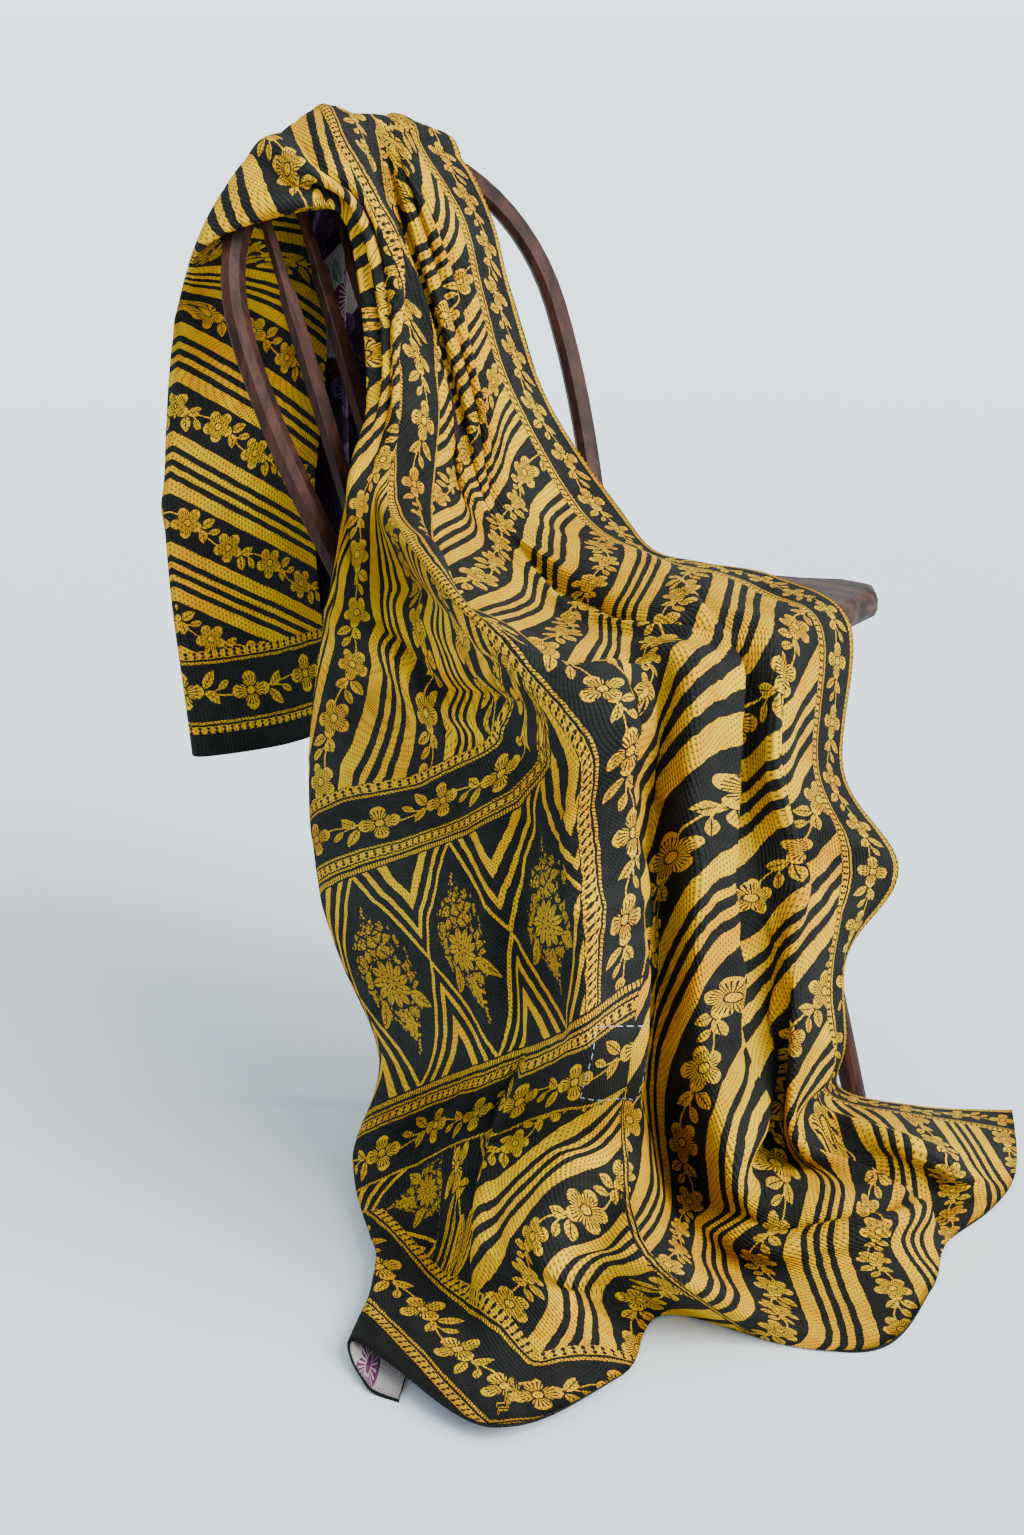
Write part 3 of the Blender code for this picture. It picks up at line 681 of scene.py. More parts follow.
# Where the panel and the two borders of the lower left corner begin, across and along the sheet.
PANEL_FROM = (0.5, 0.9)
FOOT_FROM = (0.60, 1.86)
FRAME_FROM = 1.6
BLOCK_FROM = 1.7
# What a map holds where its pattern is absent.
ABOVE_PANEL = -1.0
FAR_FROM_END = 1.0


def slanted(x, y, slope):
    """Distance over stripes of this slope, and along them."""
    c, s = math.cos(slope), math.sin(slope)
    return y * c - x * s, y * s + x * c


def from_line(grid, line):
    """Distance off a line on the floor, and along it."""
    (x0, y0), heading = line
    return slanted(grid[..., 0] - x0, grid[..., 1] - y0, heading)


def foot_border(grid):
    """Distance from the end hem and along it, measured on the floor at the lower left corner."""
    left, left_run = from_line(grid, LEFT_LINE)
    low, low_run = from_line(grid, LOW_LINE)
    left = left + BEAD_LINE
    low = low + BORDER
    return np.minimum(left, low), np.where(left < low, left_run, low_run + 0.02)


def corners(*values):
    """Each value at the four corners of every quad, side by side."""
    return np.stack([np.stack([v[:-1, :-1], v[:-1, 1:], v[1:, 1:], v[1:, :-1]], -1) for v in values], -1)


def quads_in(mask):
    """The quads that have most of their corners in a mask."""
    return corners(mask)[..., 0].sum(-1) > 2


def print_layout(grid, across, along):
    """The maps that the print is drawn by: two numbers for each corner of each quad, by map name."""
    a, b = arc_lengths(grid)
    s, t = np.meshgrid(across, along)
    flat = laid_flat(across, along)
    x, y = flat[..., 0], flat[..., 1]
    rim = [np.searchsorted(across, FOLDS["turned_rim"])]
    past = np.abs(a - a[:, rim])
    rim_x = x[:, rim]
    vine = a - a[:, [np.searchsorted(across, VINE_LINE)]] + VINE_MIDDLE

    low_over, low_run = slanted(x - FLOOR_MIDDLE[0], y - FLOOR_MIDDLE[1], FLOOR_SLOPE)
    flap_over, flap_run = slanted(-past, b, FLAP_SLOPE)
    on_floor = 1.0 - fade(t, FLOOR_ALONG)
    on_flap = fade(t, FLAP_ALONG)
    period = PERIOD + on_floor * (FLOOR_PERIOD - PERIOD)
    period += on_flap * (FLAP_PERIOD - period)

    low_lanes = (low_over - FLOOR_LANES[0]) / FLOOR_PERIOD + FLOOR_LANES[1] + FLOWER_LANE
    flap_lanes = flap_over / FLAP_PERIOD - FLAP_LANES

    def lane_and_run(shift):
        """The count of flower lanes and the way along them, with the stripes moved across by a shift."""
        over, run = slanted(rim_x - np.abs(x - shift - rim_x), y, STRIPE_SLOPE)
        lanes = np.interp(over, STRIPE_PLACES, STRIPE_COUNTS) + FLOWER_LANE
        lanes += on_floor * (low_lanes - lanes)
        run += on_floor * (low_run + FLOOR_START - run)
        lanes += on_flap * (flap_lanes - lanes)
        run += on_flap * (FLAP_START - flap_run - run)
        return corners(lanes, run)

    frame = np.interp(y, CORNER_DOWN, CORNER_FRAME) - x
    top = np.interp(x, *zip(*BAND_1_TOP))
    down = np.where(y < top, y - top, (y - top) / (BAND_1_END - top) * (BEAD_SIDE + LADDER_SIDE))
    down = np.where(y > BAND_1_END, y - BAND_1_END + BEAD_SIDE + LADDER_SIDE, down)
    panel = np.where((s > PANEL_FROM[0]) & (t > PANEL_FROM[1]), down, ABOVE_PANEL)
    to_end, foot_run = foot_border(grid)
    to_end = np.where((s < FOOT_FROM[0]) | (t < FOOT_FROM[1]), FAR_FROM_END, to_end)

    inner, middle = (np.interp(along, *zip(*line))[:, None] for line in (INNER_FOLD, MIDDLE_FOLD))
    tucked = TUCKED * (1.0 - fade(t, TUCK_TOP)) * fade(t, TUCK_END)
    lane_map = lane_and_run(0.0)
    for outer, near in ((inner, middle), (middle, DROP_EDGE)):
        between = quads_in(s < outer)
        lane_map[between] = lane_and_run(tucked * (s - (outer + near) / 2))[between]

    block = quads_in((frame > -0.02) & (y > BAND_2_END - 0.01) & (vine > -0.0305) & (t > BLOCK_FROM))
    over, run = slanted(x, y, CORNER_SLOPE)
    lane_map[block] = corners((over - CORNER_LANES) / CORNER_PERIOD + FLOWER_LANE, run)[block]
    size_map = corners(period, foot_run)
    size_map[block, :, 0] = PERIOD
    return {
        "Print": lane_map,
        "Arc": corners(a, b),
        "Panel": corners(x, panel),
        "Lines": corners(vine, to_end),
        "Frame": corners(frame, np.where(t > FRAME_FROM, y, 0.0)),
        "Size": size_map,
    }


# ---- shader arithmetic


def math_node(operation, swapped=False):
    """A method of Value that adds one math node. Swapped, the other number comes first."""

    def method(self, *others):
        return self.graph.math(operation, *((others[0], self) if swapped else (self, *others)))

    return method


class Value:
    """A number in a shader, so that a pattern can be written as arithmetic."""

    def __init__(self, graph, socket):
        self.graph = graph
        self.socket = socket

    __add__ = __radd__ = math_node("ADD")
    __sub__ = math_node("SUBTRACT")
    __rsub__ = math_node("SUBTRACT", swapped=True)
    __mul__ = __rmul__ = math_node("MULTIPLY")
    __truediv__ = math_node("DIVIDE")
    __lt__ = math_node("LESS_THAN")
    __gt__ = math_node("GREATER_THAN")
    size = math_node("ABSOLUTE")
    fract = math_node("FRACT")
    floor = math_node("FLOOR")
    sin = math_node("SINE")
    cos = math_node("COSINE")
    power = math_node("POWER")
    most = math_node("MAXIMUM")
    # One where the two are within the third number of each other, and zero elsewhere.
    near = math_node("COMPARE")


class Graph:
    """The node tree of a new material or world, with short ways to add to it."""

    def __init__(self, name, kinds=bpy.data.materials):
        self.owner = kinds.new(name)
        self.owner.use_nodes = True
        self.tree = self.owner.node_tree

    def plug(self, socket, value):
        if isinstance(value, Value):
            self.tree.links.new(value.socket, socket)
        else:
            socket.default_value = value

    def add(self, kind, inputs=(), output=0, **settings):
        """A new node, with its inputs given by name or in order, as the value of one output."""
        node = self.tree.nodes.new(kind)
        for key, value in settings.items():
            setattr(node, key, value)
        for key, value in inputs.items() if isinstance(inputs, dict) else enumerate(inputs):
            self.plug(node.inputs[key], value)
        return Value(self, node.outputs[output])

    def math(self, operation, *values):
        return self.add("ShaderNodeMath", values, operation=operation)

    def smooth(self, value, low, high, start=0.0, end=1.0):
        inputs = (value, low, high, start, end)
        return self.add("ShaderNodeMapRange", inputs, interpolation_type="SMOOTHSTEP")

    def choose(self, mask, yes, no):
        """One number where the mask is one, the other where it is zero."""
        return no + mask * (yes - no)

    def length(self, u, v):
        return (u * u + v * v).power(0.5)

    def vector(self, x, y):
        return self.add("ShaderNodeCombineXYZ", (x, y, 0.0))

    def parts(self, vector):
        first = self.add("ShaderNodeSeparateXYZ", (vector,))
        return [Value(self, out) for out in first.socket.node.outputs]

    def map_place(self, name):
        return self.add("ShaderNodeUVMap", uv_map=name)

    def object_place(self):
        return self.add("ShaderNodeTexCoord", output="Object")

    def scaled(self, vector, scale):
        return self.add("ShaderNodeVectorMath", (vector, scale), operation="MULTIPLY")

    def noise(self, vector, scale, detail, roughness=0.5, distortion=0.0):
        inputs = {"Vector": vector, "Scale": scale, "Detail": detail}
        inputs |= {"Roughness": roughness, "Distortion": distortion}
        return self.add("ShaderNodeTexNoise", inputs)

    def cells(self, vector, scale, feature="F1"):
        inputs = {"Vector": vector, "Scale": scale}
        return self.add("ShaderNodeTexVoronoi", inputs, "Distance", feature=feature)

    def bands(self, value, stops):
        """A step ramp from (place, level) pairs."""
        banded = self.add("ShaderNodeValToRGB", (value,))
        ramp = banded.socket.node.color_ramp
        ramp.interpolation = "CONSTANT"
        while len(ramp.elements) < len(stops):
            ramp.elements.new(0.5)
        for element, (place, level) in zip(ramp.elements, stops):
            element.position = place
            element.color = (level, level, level, 1.0)
        return banded

    def mix(self, factor, first, second):
        # The colours go into the node's inputs 6 and 7, and come mixed out of its output 2.
        pair = [colour if isinstance(colour, Value) else (*colour, 1.0) for colour in (first, second)]
        return self.add("ShaderNodeMix", {"Factor": factor, 6: pair[0], 7: pair[1]}, 2, data_type="RGBA")

    def finish(self, colour, roughness, specular, height=None, depth=0.0):
        """The material, with its colour, roughness, specular level and bumps of a depth in metres."""
        given = {"Base Color": colour, "Roughness": roughness, "Specular IOR Level": specular}
        if height is not None:
            given["Normal"] = self.add("ShaderNodeBump", {"Distance": depth, "Height": height})
        for name, value in given.items():
            self.plug(self.tree.nodes["Principled BSDF"].inputs[name], value)
        return self.owner


# ---- the print

BLACK = ((0.0070, 0.0078, 0.0068), (0.0135, 0.0148, 0.0132))
YELLOW = ((0.565, 0.248, 0.0), (0.690, 0.425, 0.0010))
# What is dyed across one repeat of the stripes and across one diamond, as (share of the way, dyed or not).
STRIPE_MARKS = ((0.0, 1), (0.126, 0), (0.188, 1), (0.246, 0), (0.308, 1), (0.366, 0), (0.428, 1), (0.554, 0))
ZIGZAG_MARKS = ((0.0, 0), (0.491, 1), (0.526, 0), (0.596, 1), (0.647, 0), (0.738, 1), (0.820, 0))
FLOWER_LIMITS = (0.562, 0.992)
LANE_STEP = 0.053
LANE_BLOOM = 0.0164
LANE_STAGGER = 0.023
BORDER_STEP = 0.066
BORDER_BLOOM = 0.0192
BORDER_SPREAD = 0.78
HEM = 0.0245
START_HEM = 0.0240
START_BORDER = 0.106
RIGHT_BORDER = 0.0625
# The pitch of the zigzag in the left panel and in the corner block, and where the corner block's own zigzag
# starts and has its middle on the laid-out sheet.
PANEL_PITCH = 0.108
LATTICE_PITCH = 0.120
LATTICE_FOOT = (0.741, 1.747)
LATTICE_MIDDLE = 0.765
SPRAY_STRENGTH = 0.70
BOUQUET_LEAVES = ((0.024, 0.022, 0.8, 0.013), (-0.022, 0.024, 2.3, 0.013), (0.0, 0.038, 1.5, 0.014))
ROW_WIDTH = 0.0035
STITCH_STEP = 0.0046
MEND_AT = (0.528, 1.737)
MEND_HALF = 0.030
PATCH_FLOWERS = (0.075, 0.082)


def flower(g, u, v, petals, radius, width):
    """A flower of round veined petals about a disc: one where the dye is. Sizes are shares of its radius."""
    r = g.length(u, v) / radius
    side = (g.math("ARCTAN2", v, u) * (petals / (2 * math.pi)) + 10.5).fract() - 0.5
    angle = side * (2 * math.pi / petals)
    along = r * angle.cos() - 0.60
    across = r * angle.sin()
    petal = (along * along * (1 / 0.40**2) + across * across * (1 / width**2)) < 1.0
    vein = (side * 6.0 + 0.5).fract().near(0.5, 0.20) * r.near(0.50, 0.27)
    return (petal * (1.0 - vein)).most(r < 0.215) * (1.0 - r.near(0.235, 0.030))


def leaf(u, v, at, angle, length, width):
    """A pointed leaf with veins."""
    c, s = math.cos(angle), math.sin(angle)
    x = (u - at[0]) * (c / length) + (v - at[1]) * (s / length)
    y = (v - at[1]) * (c / width) - (u - at[0]) * (s / width)
    off = y.size()
    blade = off < (1.0 - x * x)
    rib = off.near(0.0, 0.10) * (x < 0.7)
    vein = (x * 2.6 - off * 1.3 + 8.0).fract().near(0.5, 0.09) * (off < 0.7)
    return blade * (1.0 - rib.most(vein))


def leaves(u, v, shapes):
    """Several leaves, each given by its place, angle, length and width."""
    return reduce(Value.most, [leaf(u, v, *shape) for shape in shapes])


def vine(g, x, y, step, radius, petals=4):
    """Flowers on a stem with leaves between them, repeated along x."""
    run = x / step
    side = ((run.floor() * 0.5).fract() > 0.25) * 2.0 - 1.0
    u = (run.fract() - 0.5) * step
    v = y * side - 0.0022
    bloom = flower(g, u, v, petals, radius, 0.37 if petals == 4 else 0.345)
    near = step / BORDER_STEP
    shapes = (
        ((0.385 * step, 0.0105 * near), 0.95, 0.0112 * near, 0.0047),
        ((0.425 * step, -0.0070 * near), -0.75, 0.0112 * near, 0.0047),
        ((-0.405 * step, -0.0085), 2.5, 0.0075, 0.0034),
    )
    bend = (run * (2 * math.pi)).sin() * 0.0028
    stem = v.near(bend, 0.0007) * (u.size() > radius * 0.7)
    return bloom.most(leaves(u, v, shapes) * (1.0 - (g.length(u, v) < radius * 1.03))).most(stem)


def rope(x, y, centre):
    """A twisted line along x."""
    twist = (x / 0.0034 + (y - centre) / 0.0032).fract() > 0.30
    return y.near(centre, 0.00125) * twist


def beads(x, y, centre):
    """A bright row holding dark drops."""
    u = ((x / 0.0078).fract() - 0.5) * 0.0078
    v = y - centre
    drop = (u * u + (v - 0.0016) * (v - 0.0016)) < 0.0018**2
    foot = (u * u * 0.5 + (v + 0.0026) * (v + 0.0026)) < 0.0013**2
    waist = v.near(-0.0008, 0.0012) * (u.size() < 0.0006)
    slit = (u.size() > 0.0033) * (v > 0.0028)
    return v.near(0.0, 0.0044) * (1.0 - drop.most(foot).most(waist).most(slit))


def stripes(g, lane, run, period):
    """Broad and narrow slanting stripes with a lane of flowers between the groups."""
    part = lane.fract()
    across = (part - FLOWER_LANE) * PERIOD
    along = (run - LANE_START) * PERIOD / period + lane.floor() * LANE_STAGGER
    blooms = vine(g, along, across, LANE_STEP, LANE_BLOOM, 5)
    return g.bands(part, STRIPE_MARKS).most(blooms * (part > FLOWER_LIMITS[0]) * (part < FLOWER_LIMITS[1]))


def zigzag(g, along, height, pitch, tall):
    """Nested bars in Vs that meet at mid-height."""
    side = ((along / pitch + 20.5).fract() - 0.5) * 2.0
    nested = (height * (2 / tall)).size() - side.size()
    return g.bands(nested * 0.5 + 0.5, ZIGZAG_MARKS)


def dahlia(g, u, v, radius, petals):
    """A many-petalled bloom in three rings: where each ring starts and ends, its petals and its turn."""
    rings = ((0.55, 1.0, petals, 0.0), (0.30, 0.66, petals - 2, 0.4), (0.0, 0.36, 5, 0.1))
    r = g.length(u, v) / radius
    turn = g.math("ARCTAN2", v, u) / (2 * math.pi)
    shape = None
    for low, high, count, shift in rings:
        side = (turn * count + (20.0 + shift)).fract() - 0.5
        place = (r - low) * (1 / (high - low))
        tip = side.size() < ((1.0 - place * place) * 0.47)
        rib = side.near(0.0, 0.045) * (place > 0.15)
        body = tip * (1.0 - rib) * (r > low - 0.03)
        shape = body if shape is None else g.choose(r < high - 0.12 * side.size() * 4.0, body, shape)
    return shape * (r < 1.0)


def bouquet(g, along, height, pitch):
    """A mass of veined petals about one large bloom, with small sprays above and below, in each diamond."""
    u = ((along / pitch + 20.0).fract() - 0.5) * pitch
    v = height + (u / pitch * 19.0).sin() * 0.0012
    place = g.vector(u, v)
    uneven = (g.noise(place, 95.0, 2.0, 0.6) - 0.5) * 1.5
    reach = u * u * (1 / 0.030**2) + (v + 0.003) * (v + 0.003) * (1 / 0.043**2) + uneven
    petals = g.cells(place, 105.0, "DISTANCE_TO_EDGE") > 0.085
    petals = petals * (g.cells(place, 330.0, "DISTANCE_TO_EDGE") > 0.07)
    sprays = (g.cells(place, 240.0) < 0.33) * ((u.size() * 2.6 + v.size()) < 0.066)
    apart = g.length(u, v - 0.005) > 0.0205
    bloom = dahlia(g, u, v - 0.005, 0.0200, 11)
    for x, y, angle, length in BOUQUET_LEAVES:
        bloom = bloom.most(leaf(u, v, (x, y), angle, length, 0.0052))
    return bloom.most((petals * (reach < 1.0)).most(sprays) * apart)


def weave(g, place):
    return g.noise(g.scaled(place, (800.0, 800.0, 1.0)), 1.0, 1.0)


def stitch_marks(a, b):
    """Rows of running stitch along the sheet: (distance from the row, thread, pinhole)."""
    row = a / ROW_WIDTH
    dash = (b / STITCH_STEP + (row.floor() * 0.5).fract()).fract()
    across = (row.fract() - 0.5).size()
    thread = (across < 0.16) * dash.near(0.5, 0.27)
    hole = (across < 0.22) * ((dash - 0.5).size() > 0.34)
    return across, thread, hole


def mended(g):
    """White running stitches around a small square mend."""
    s, t, _ = g.parts(g.map_place("Sheet"))
    off = (s - MEND_AT[0]).size().most((t - MEND_AT[1]).size())
    return off.near(MEND_HALF, 0.0005) * (((s + t) / 0.0085).fract() < 0.58)


def finish_cloth(g, dye, a, b):
    """Colour, weave, stitches and crumple of the printed cloth, with the stitches laid out by a and b."""
    place = g.map_place("Sheet")
    across, thread, hole = stitch_marks(a, b)
    cloud = g.noise(place, 55.0, 2.0, 0.6)
    grain = weave(g, place)
    shade = g.smooth(g.noise(place, 8.0, 3.0, 0.6) * 0.6 + cloud * 0.4, 0.36, 0.62)
    worn = g.smooth(grain + cloud * 0.6, 0.92, 1.10)
    colour = g.mix(dye * (1.0 - worn * 0.5), g.mix(shade, *BLACK), g.mix(shade, *YELLOW))
    colour = g.mix(hole * dye * 0.82, colour, (0.035, 0.020, 0.006))
    colour = g.mix(thread * (1.0 - dye) * 0.22, colour, (0.045, 0.050, 0.050))
    colour = g.mix(mended(g), colour, (0.36, 0.38, 0.42))
    ripple = g.noise(g.scaled(place, (90.0, 60.0, 1.0)), 1.0, 3.0, 0.6, 0.6)
    height = g.smooth(across, 0.0, 0.5) * 0.55 + ripple * 1.2 + thread * 0.20 + grain * 0.14
    return g.finish(colour, 0.82, 0.07, height, 0.0017)


def face_material():
    """The whole printed face: each region is chosen by the maps, then drawn once."""
    g = Graph("quilt_print")
    jitter = (g.noise(g.map_place("Sheet"), 75.0, 2.0) - 0.5) * 0.0030
    maps = [g.parts(g.map_place(name)) for name in ("Print", "Arc", "Panel", "Lines", "Frame", "Size")]
    (lane, run, _), (a, b, _), (x, down, _), (line, end, _), (frame, y, _), (period, foot_run, _) = maps
    field = stripes(g, lane + jitter * 9.0, run, period)

    # Regions: the vine down the sheet, the two cross bands, the panel between them and the block below.
    left = line > BEAD_SIDE
    upper = BEAD_SIDE + LADDER_SIDE
    lower = upper + BAND_2_TOP - BAND_1_END
    final = lower + LADDER_SIDE + ROPE_SIDE
    main = line.near(0.5 * (BEAD_SIDE - ROPE_SIDE), 0.5 * (BEAD_SIDE + ROPE_SIDE)) * (down < final)
    upper_band = left * (down > 0.0) * (down < upper)
    middle = left * (down > upper) * (down < lower)
    lower_band = (line > -ROPE_SIDE) * (down > lower) * (down < final)
    below = (down > final) * (line > -ROPE_SIDE)
    corner = below * (frame < 0.0130)
    lattice = below * (frame < -0.060)
    seam = line.near(-0.0300, 0.0040) * (down > final)
    edge = a < RIGHT_BORDER
    foot = end < BORDER
    start = b < START_BORDER

    # Every border is the same strip of flowers, laid across by one distance and along by another.
    across = (a - 0.0285) / BORDER_SPREAD
    along = b / BORDER_SPREAD
    for mask, u, v in (
        (main.most(seam), b, line),
        (upper_band, x, down - BEAD_SIDE),
        (lower_band, x, lower + LADDER_SIDE - down),
        (corner, b, frame + 0.031),
        (foot, foot_run, end - 0.0665),
        (start, a, b - 0.0645),
    ):
        across = g.choose(mask, v, across)
        along = g.choose(mask, u, along)
    across = across + jitter
    marks = vine(g, along, across, BORDER_STEP, BORDER_BLOOM) * (1.0 - seam)
    for centre in (0.0300, -0.0300, 0.0455):
        marks = marks.most(rope(along, across, centre))
    marks = marks.most(beads(along, across.size(), 0.0380))
    marks = marks.most(across.near(0.0528, 0.0027) * ((along / 0.0026).fract() > 0.38))
    marks = marks.most(edge * (a + jitter).near(0.0050, 0.0022) * ((b / 0.0042 + a * 240.0).fract() > 0.30))
    banded = edge * (across < 0.0440)
    for mask in (main, seam, upper_band, lower_band, corner, foot, start):
        banded = banded.most(mask)
    dye = g.choose(banded, marks, field)

    leaning = g.choose(lattice, y - LATTICE_FOOT[1], x - LATTICE_FOOT[0])
    height = g.choose(lattice, x - LATTICE_MIDDLE, down - 0.5 * (upper + lower))
    pitch = lattice * (LATTICE_PITCH - PANEL_PITCH) + PANEL_PITCH
    bars = zigzag(g, leaning + jitter, height, pitch, BAND_2_TOP - BAND_1_END)
    bars = bars.most(bouquet(g, leaning, height, pitch) * SPRAY_STRENGTH)
    dye = g.choose(middle.most(lattice * (1.0 - foot)), bars, dye)
    return finish_cloth(g, dye * (1.0 - (end < HEM).most(b < START_HEM)), a, b)


def hem_material():
    g = Graph("quilt_hem")
    s, t, _ = g.parts(g.map_place("Sheet"))
    return finish_cloth(g, s * 0.0, s, t)


def reverse_material():
    """The soft flowered cloth on the back of the quilt, in pale, plum and rust patches."""
    g = Graph("quilt_reverse")
    place = g.map_place("Sheet")
    s, t, _ = g.parts(place)
    patches = g.noise(place, 4.0, 0.0) - g.smooth(t, 1.86, 1.90) * 0.22
    across, _, hole = stitch_marks(s, t)
    column = s / PATCH_FLOWERS[0]
    u = (column.fract() - 0.5) * PATCH_FLOWERS[0]
    v = ((t / PATCH_FLOWERS[1] + 0.5 + (column.floor() * 0.5).fract()).fract() - 0.5) * PATCH_FLOWERS[1]
    bloom = flower(g, u, v, 5, 0.030, 0.36)
    green = leaves(u, v, (((0.030, 0.020), 0.8, 0.014, 0.006), ((-0.028, -0.022), 0.6, 0.014, 0.006)))
    pale = g.mix(green, g.mix(bloom, (0.60, 0.55, 0.52), (0.20, 0.035, 0.13)), (0.18, 0.34, 0.27))
    plum = g.mix(green, g.mix(bloom, (0.030, 0.012, 0.028), (0.135, 0.055, 0.160)), (0.10, 0.045, 0.020))
    rust = g.mix(bloom, (0.34, 0.085, 0.022), (0.50, 0.36, 0.30))
    colour = g.mix(g.smooth(patches, 0.345, 0.355), pale, plum)
    colour = g.mix(g.smooth(patches, 0.635, 0.645), colour, rust)
    colour = g.mix(hole * 0.3, colour, (0.03, 0.02, 0.03))
    height = g.smooth(across, 0.0, 0.5) * 0.6 + weave(g, place) * 0.15
    return g.finish(colour, 0.88, 0.2, height, 0.0015)


# ---- the quilt


def placed(name, data):
    """A new object of this data, put in the scene."""
    made = bpy.data.objects.new(name, data)
    bpy.context.scene.collection.objects.link(made)
    return made


def normals_of(grid):
    normal = np.cross(np.gradient(grid, axis=1), np.gradient(grid, axis=0))
    return normal / np.maximum(np.linalg.norm(normal, axis=2, keepdims=True), 1e-9)


def sheet_faces(rows, columns):
    """The quads of the face, of the reverse and of the hems between them, as three arrays."""
    below = rows * columns
    index = np.arange(below).reshape(rows, columns)
    quads = corners(index)[..., 0].reshape(-1, 4)
    rim = np.concatenate([index[0, :], index[1:, -1], index[-1, -2::-1], index[-2::-1, 0]])
    hems = np.stack([rim[:-1], rim[1:], rim[1:] + below, rim[:-1] + below], -1)
    return quads, quads[:, ::-1] + below, hems


def add_maps(mesh, faces, across, along, maps):
    """Writes the baking map, the distances over the sheet and the print's maps as UV layers."""
    sheet = np.stack(np.meshgrid(across, along), -1).reshape(-1, 2)
    on_sheet = sheet[np.concatenate(faces) % len(sheet)].reshape(-1, 2)
    unit = on_sheet / (QUILT_WIDTH, QUILT_LENGTH)
    bake = unit * (FACE_SHARE, 1.0)
    count = 4 * len(faces[0])
    bake[count : 2 * count] = unit[count : 2 * count] * (1 - REVERSE_FROM, 1.0) + (REVERSE_FROM, 0.0)
    layers = {PLACE_MAP: bake, "Sheet": on_sheet}
    for name, values in maps.items():
        layers[name] = np.zeros((len(on_sheet), 2))
        layers[name][:count] = values.reshape(-1, 2)
    for name, values in layers.items():
        layer = mesh.uv_layers.new(name=name)
        layer.uv.foreach_set("vector", values.astype(np.float32).ravel())


def make_quilt():
    along = np.linspace(0.0, QUILT_LENGTH, ROWS + 1)
    across = np.linspace(0.0, QUILT_WIDTH, COLUMNS + 1)
    grid = draped_surface(along, across)
    maps = print_layout(grid, across, along)
    grid += CREASE_SCALE * crease_heights(across, along)[..., None] * normals_of(grid)
    grid = blur(blur(grid, 0, 0.6), 1, 0.6)
    clear_of_chair(grid, across)
    half = normals_of(grid) * QUILT_THICK / 2
    world = grid - MIDDLE
    points = np.concatenate([(world + half).reshape(-1, 3), (world - half).reshape(-1, 3)])
    faces = sheet_faces(*grid.shape[:2])
    mesh = bpy.data.meshes.new("quilt_cloth")
    mesh.from_pydata(points.tolist(), [], np.concatenate(faces).tolist())
    mesh.update()
    kinds = np.repeat((0, 1, 2), [len(part) for part in faces])
    mesh.polygons.foreach_set("material_index", kinds.astype(np.int32))
    mesh.polygons.foreach_set("use_smooth", np.ones(len(kinds), bool))
    add_maps(mesh, faces, across, along, maps)
    for material in (face_material(), reverse_material(), hem_material()):
        mesh.materials.append(material)
    quilt = placed("quilt_cloth", mesh)
    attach(quilt, "root")
    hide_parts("quilt")
    return quilt


# ---- the chair

DARK_WOOD = (0.0125, 0.0046, 0.0032)
GRAIN_UP = (60.0, 60.0, 7.0)
GRAIN_BACK = (60.0, 7.0, 60.0)
SLAT_BEVEL = 0.0011


def wood_material(name, grain_scale, light, worn, wear=0.5):
    """Dark stained wood, with rings drawn out along the grain, fine pores and paler worn blotches."""
    g = Graph(name)
    place = g.object_place()
    rings = g.noise(g.scaled(place, grain_scale), 1.0, 4.0, 0.6, 0.8)
    pores = g.noise(g.scaled(place, tuple(6 * v for v in grain_scale)), 1.0, 2.0, 0.7)
    blotch = g.noise(place, 7.0, 3.0, 0.6)
    colour = g.mix(g.smooth(rings, 0.35, 0.7), DARK_WOOD, light)
    colour = g.mix(g.smooth(pores, 0.52, 0.75) * 0.5, colour, tuple(0.4 * v for v in DARK_WOOD))
    colour = g.mix(g.smooth(blotch, 0.55, 0.8) * wear, colour, worn)
    return g.finish(colour, g.smooth(blotch, 0.3, 0.7, 0.42, 0.62), 0.14, rings * 0.6 + pores * 0.4, 0.0006)


def squared_slat(name, foot, head, material):
    """A slat of the back: a squared bar that steps in at a shoulder to meet the bow."""
    foot, head = np.array(foot) - MIDDLE, np.array(head) - MIDDLE
    forward = np.array((0.0, -math.cos(BACK_LEAN), math.sin(BACK_LEAN)))
    points = []
    for share, width, depth in SLAT_SHAPE:
        middle = foot + (head - foot) * share
        for side, front in SQUARE:
            points.append(middle + np.array((side * width / 2, 0.0, 0.0)) + front * depth / 2 * forward)
    faces = [(3, 2, 1, 0)]
    for i in range(len(points) - 4):
        j = i - i % 4 + (i + 1) % 4
        faces.append((i, j, 4 + j, 4 + i))
    faces.append(tuple(range(len(points) - 4, len(points))))
    mesh = bpy.data.meshes.new(name)
    mesh.from_pydata([tuple(p) for p in points], [], faces)
    mesh.materials.append(material)
    slat = placed(name, mesh)
    bevel = slat.modifiers.new("worn edges", "BEVEL")
    bevel.width = SLAT_BEVEL
    bevel.segments = 2
    return slat


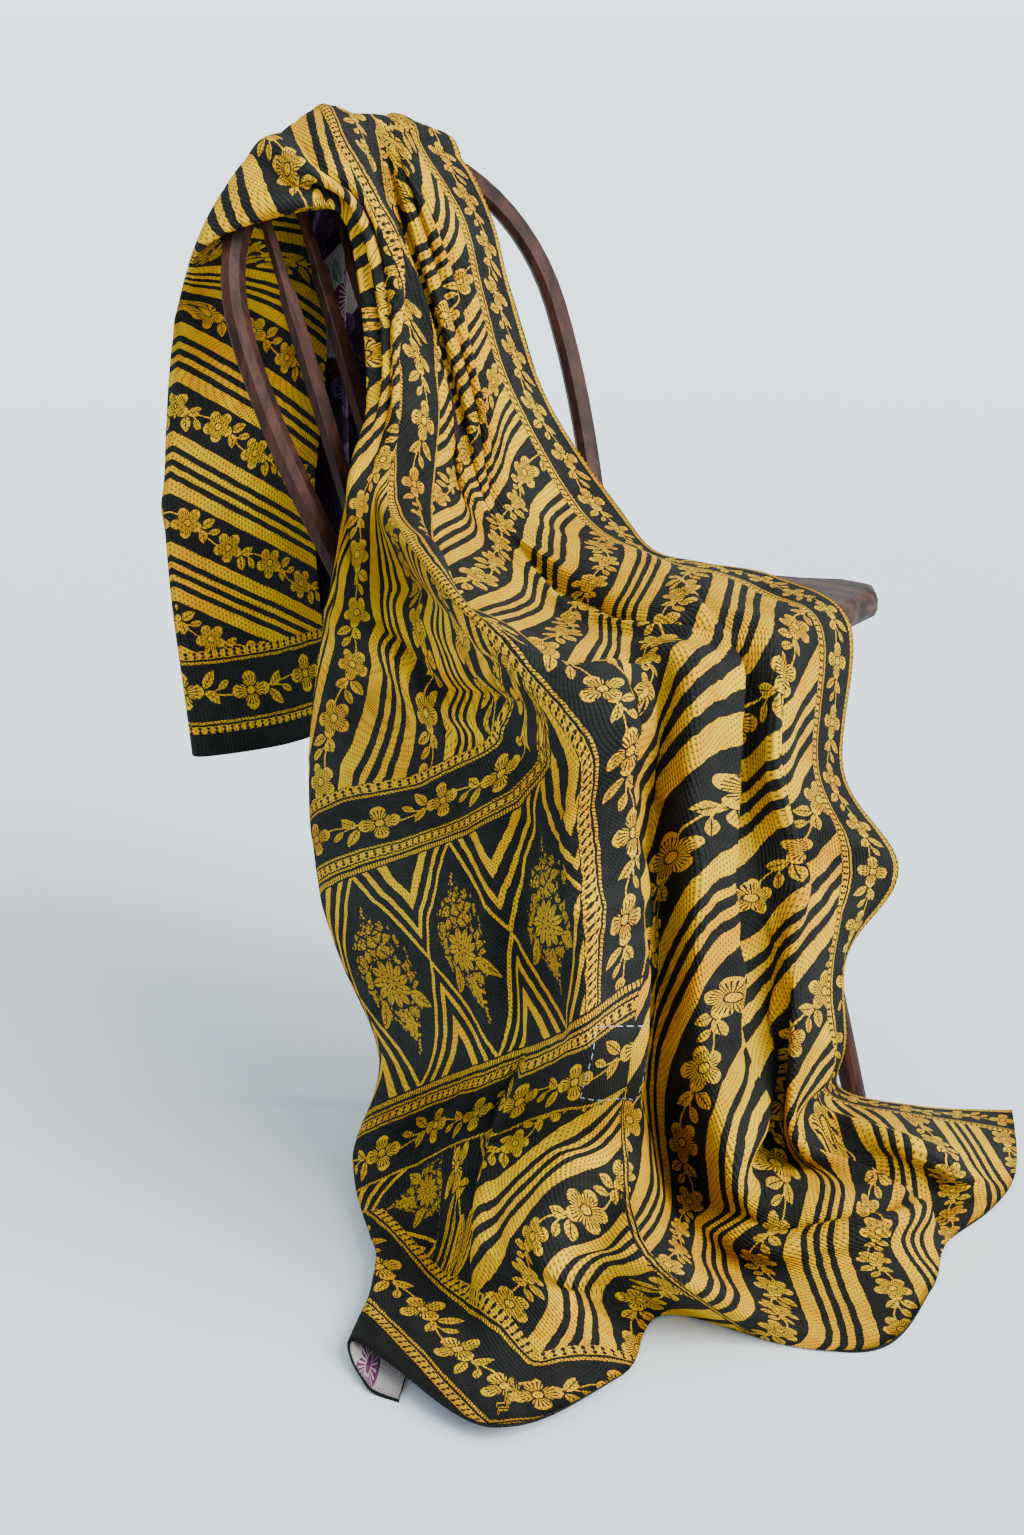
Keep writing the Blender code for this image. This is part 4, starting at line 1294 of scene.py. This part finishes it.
def dress_chair():
    """Gives the carried-over nodes their wood, and puts the squared slats in place of the plain ones."""
    upright = wood_material("wood_upright", GRAIN_UP, (0.052, 0.0175, 0.0105), (0.085, 0.034, 0.022))
    plank = wood_material("wood_plank", GRAIN_BACK, (0.085, 0.042, 0.028), (0.22, 0.135, 0.095), 0.8)
    for node, obj in frame["nodes"].items():
        if node != "quilt" and not node.startswith("slat_"):
            for slot in obj.material_slots:
                slot.material = plank if node == "seat" else upright
    for i, (foot, head) in enumerate(slat_ends()):
        slat = squared_slat(f"slat_{i + 1}_bar", foot, head, upright)
        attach(slat, "root")
        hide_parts(f"slat_{i + 1}")


# ---- floor, light and camera

FLOOR_REACH = 400.0
ROOM_COLOUR = (0.775, 0.87, 0.945, 1.0)
ROOM_STRENGTH = 1.45
HORIZON_STRENGTH = 2.9
WINDOW_COLOUR = (1.0, 0.97, 0.93)
WINDOW_STRENGTH = 6.6
WINDOW_SPREAD = math.radians(50)
WINDOW_TOWARD = (0.20, -0.80, 0.62)
CAMERA_PLACE = (-1.4300, -1.4310, 0.970)
CAMERA_TILT = math.radians(73.0)
CAMERA_HEADING = math.radians(-45.0)


def make_floor():
    """A pale floor, a little brighter far away."""
    mesh = bpy.data.meshes.new("floor")
    mesh.from_pydata([(FLOOR_REACH * x, FLOOR_REACH * y, 0) for x, y in SQUARE], [], [(0, 1, 2, 3)])
    g = Graph("floor")
    place = g.object_place()
    near = g.mix(g.noise(place, 1.2, 3.0), (0.675, 0.745, 0.795), (0.715, 0.785, 0.835))
    x, y, _ = g.parts(place)
    away = g.smooth(g.length(x, y), 0.5, 6.0)
    mesh.materials.append(g.finish(g.mix(away, near, (0.83, 0.885, 0.93)), 0.9, 0.05))
    floor = placed("floor", mesh)


def light_the_room():
    """A broad soft light from the front right over an even pale room."""
    g = Graph("studio", bpy.data.worlds)
    _, _, rise = g.parts(g.add("ShaderNodeTexCoord", output="Generated"))
    background = g.tree.nodes["Background"]
    background.inputs["Color"].default_value = ROOM_COLOUR
    g.plug(background.inputs["Strength"], g.smooth(rise, 0.02, 0.16, HORIZON_STRENGTH, ROOM_STRENGTH))
    bpy.context.scene.world = g.owner
    lamp = bpy.data.lights.new("window", "SUN")
    lamp.energy = WINDOW_STRENGTH
    lamp.color = WINDOW_COLOUR
    lamp.angle = WINDOW_SPREAD
    light = placed("window", lamp)
    light.rotation_euler = Vector(WINDOW_TOWARD).to_track_quat("Z", "Y").to_euler()


def make_camera():
    lens = bpy.data.cameras.new("camera")
    lens.lens = 58.0
    lens.sensor_fit = "VERTICAL"
    lens.sensor_height = 36.0
    camera = placed("camera", lens)
    camera.location = CAMERA_PLACE
    camera.rotation_euler = (CAMERA_TILT, 0.0, CAMERA_HEADING)
    bpy.context.scene.camera = camera


make_camera()
make_floor()
light_the_room()
dress_chair()
quilt = make_quilt()


def write_sizes():
    import json


write_sizes()
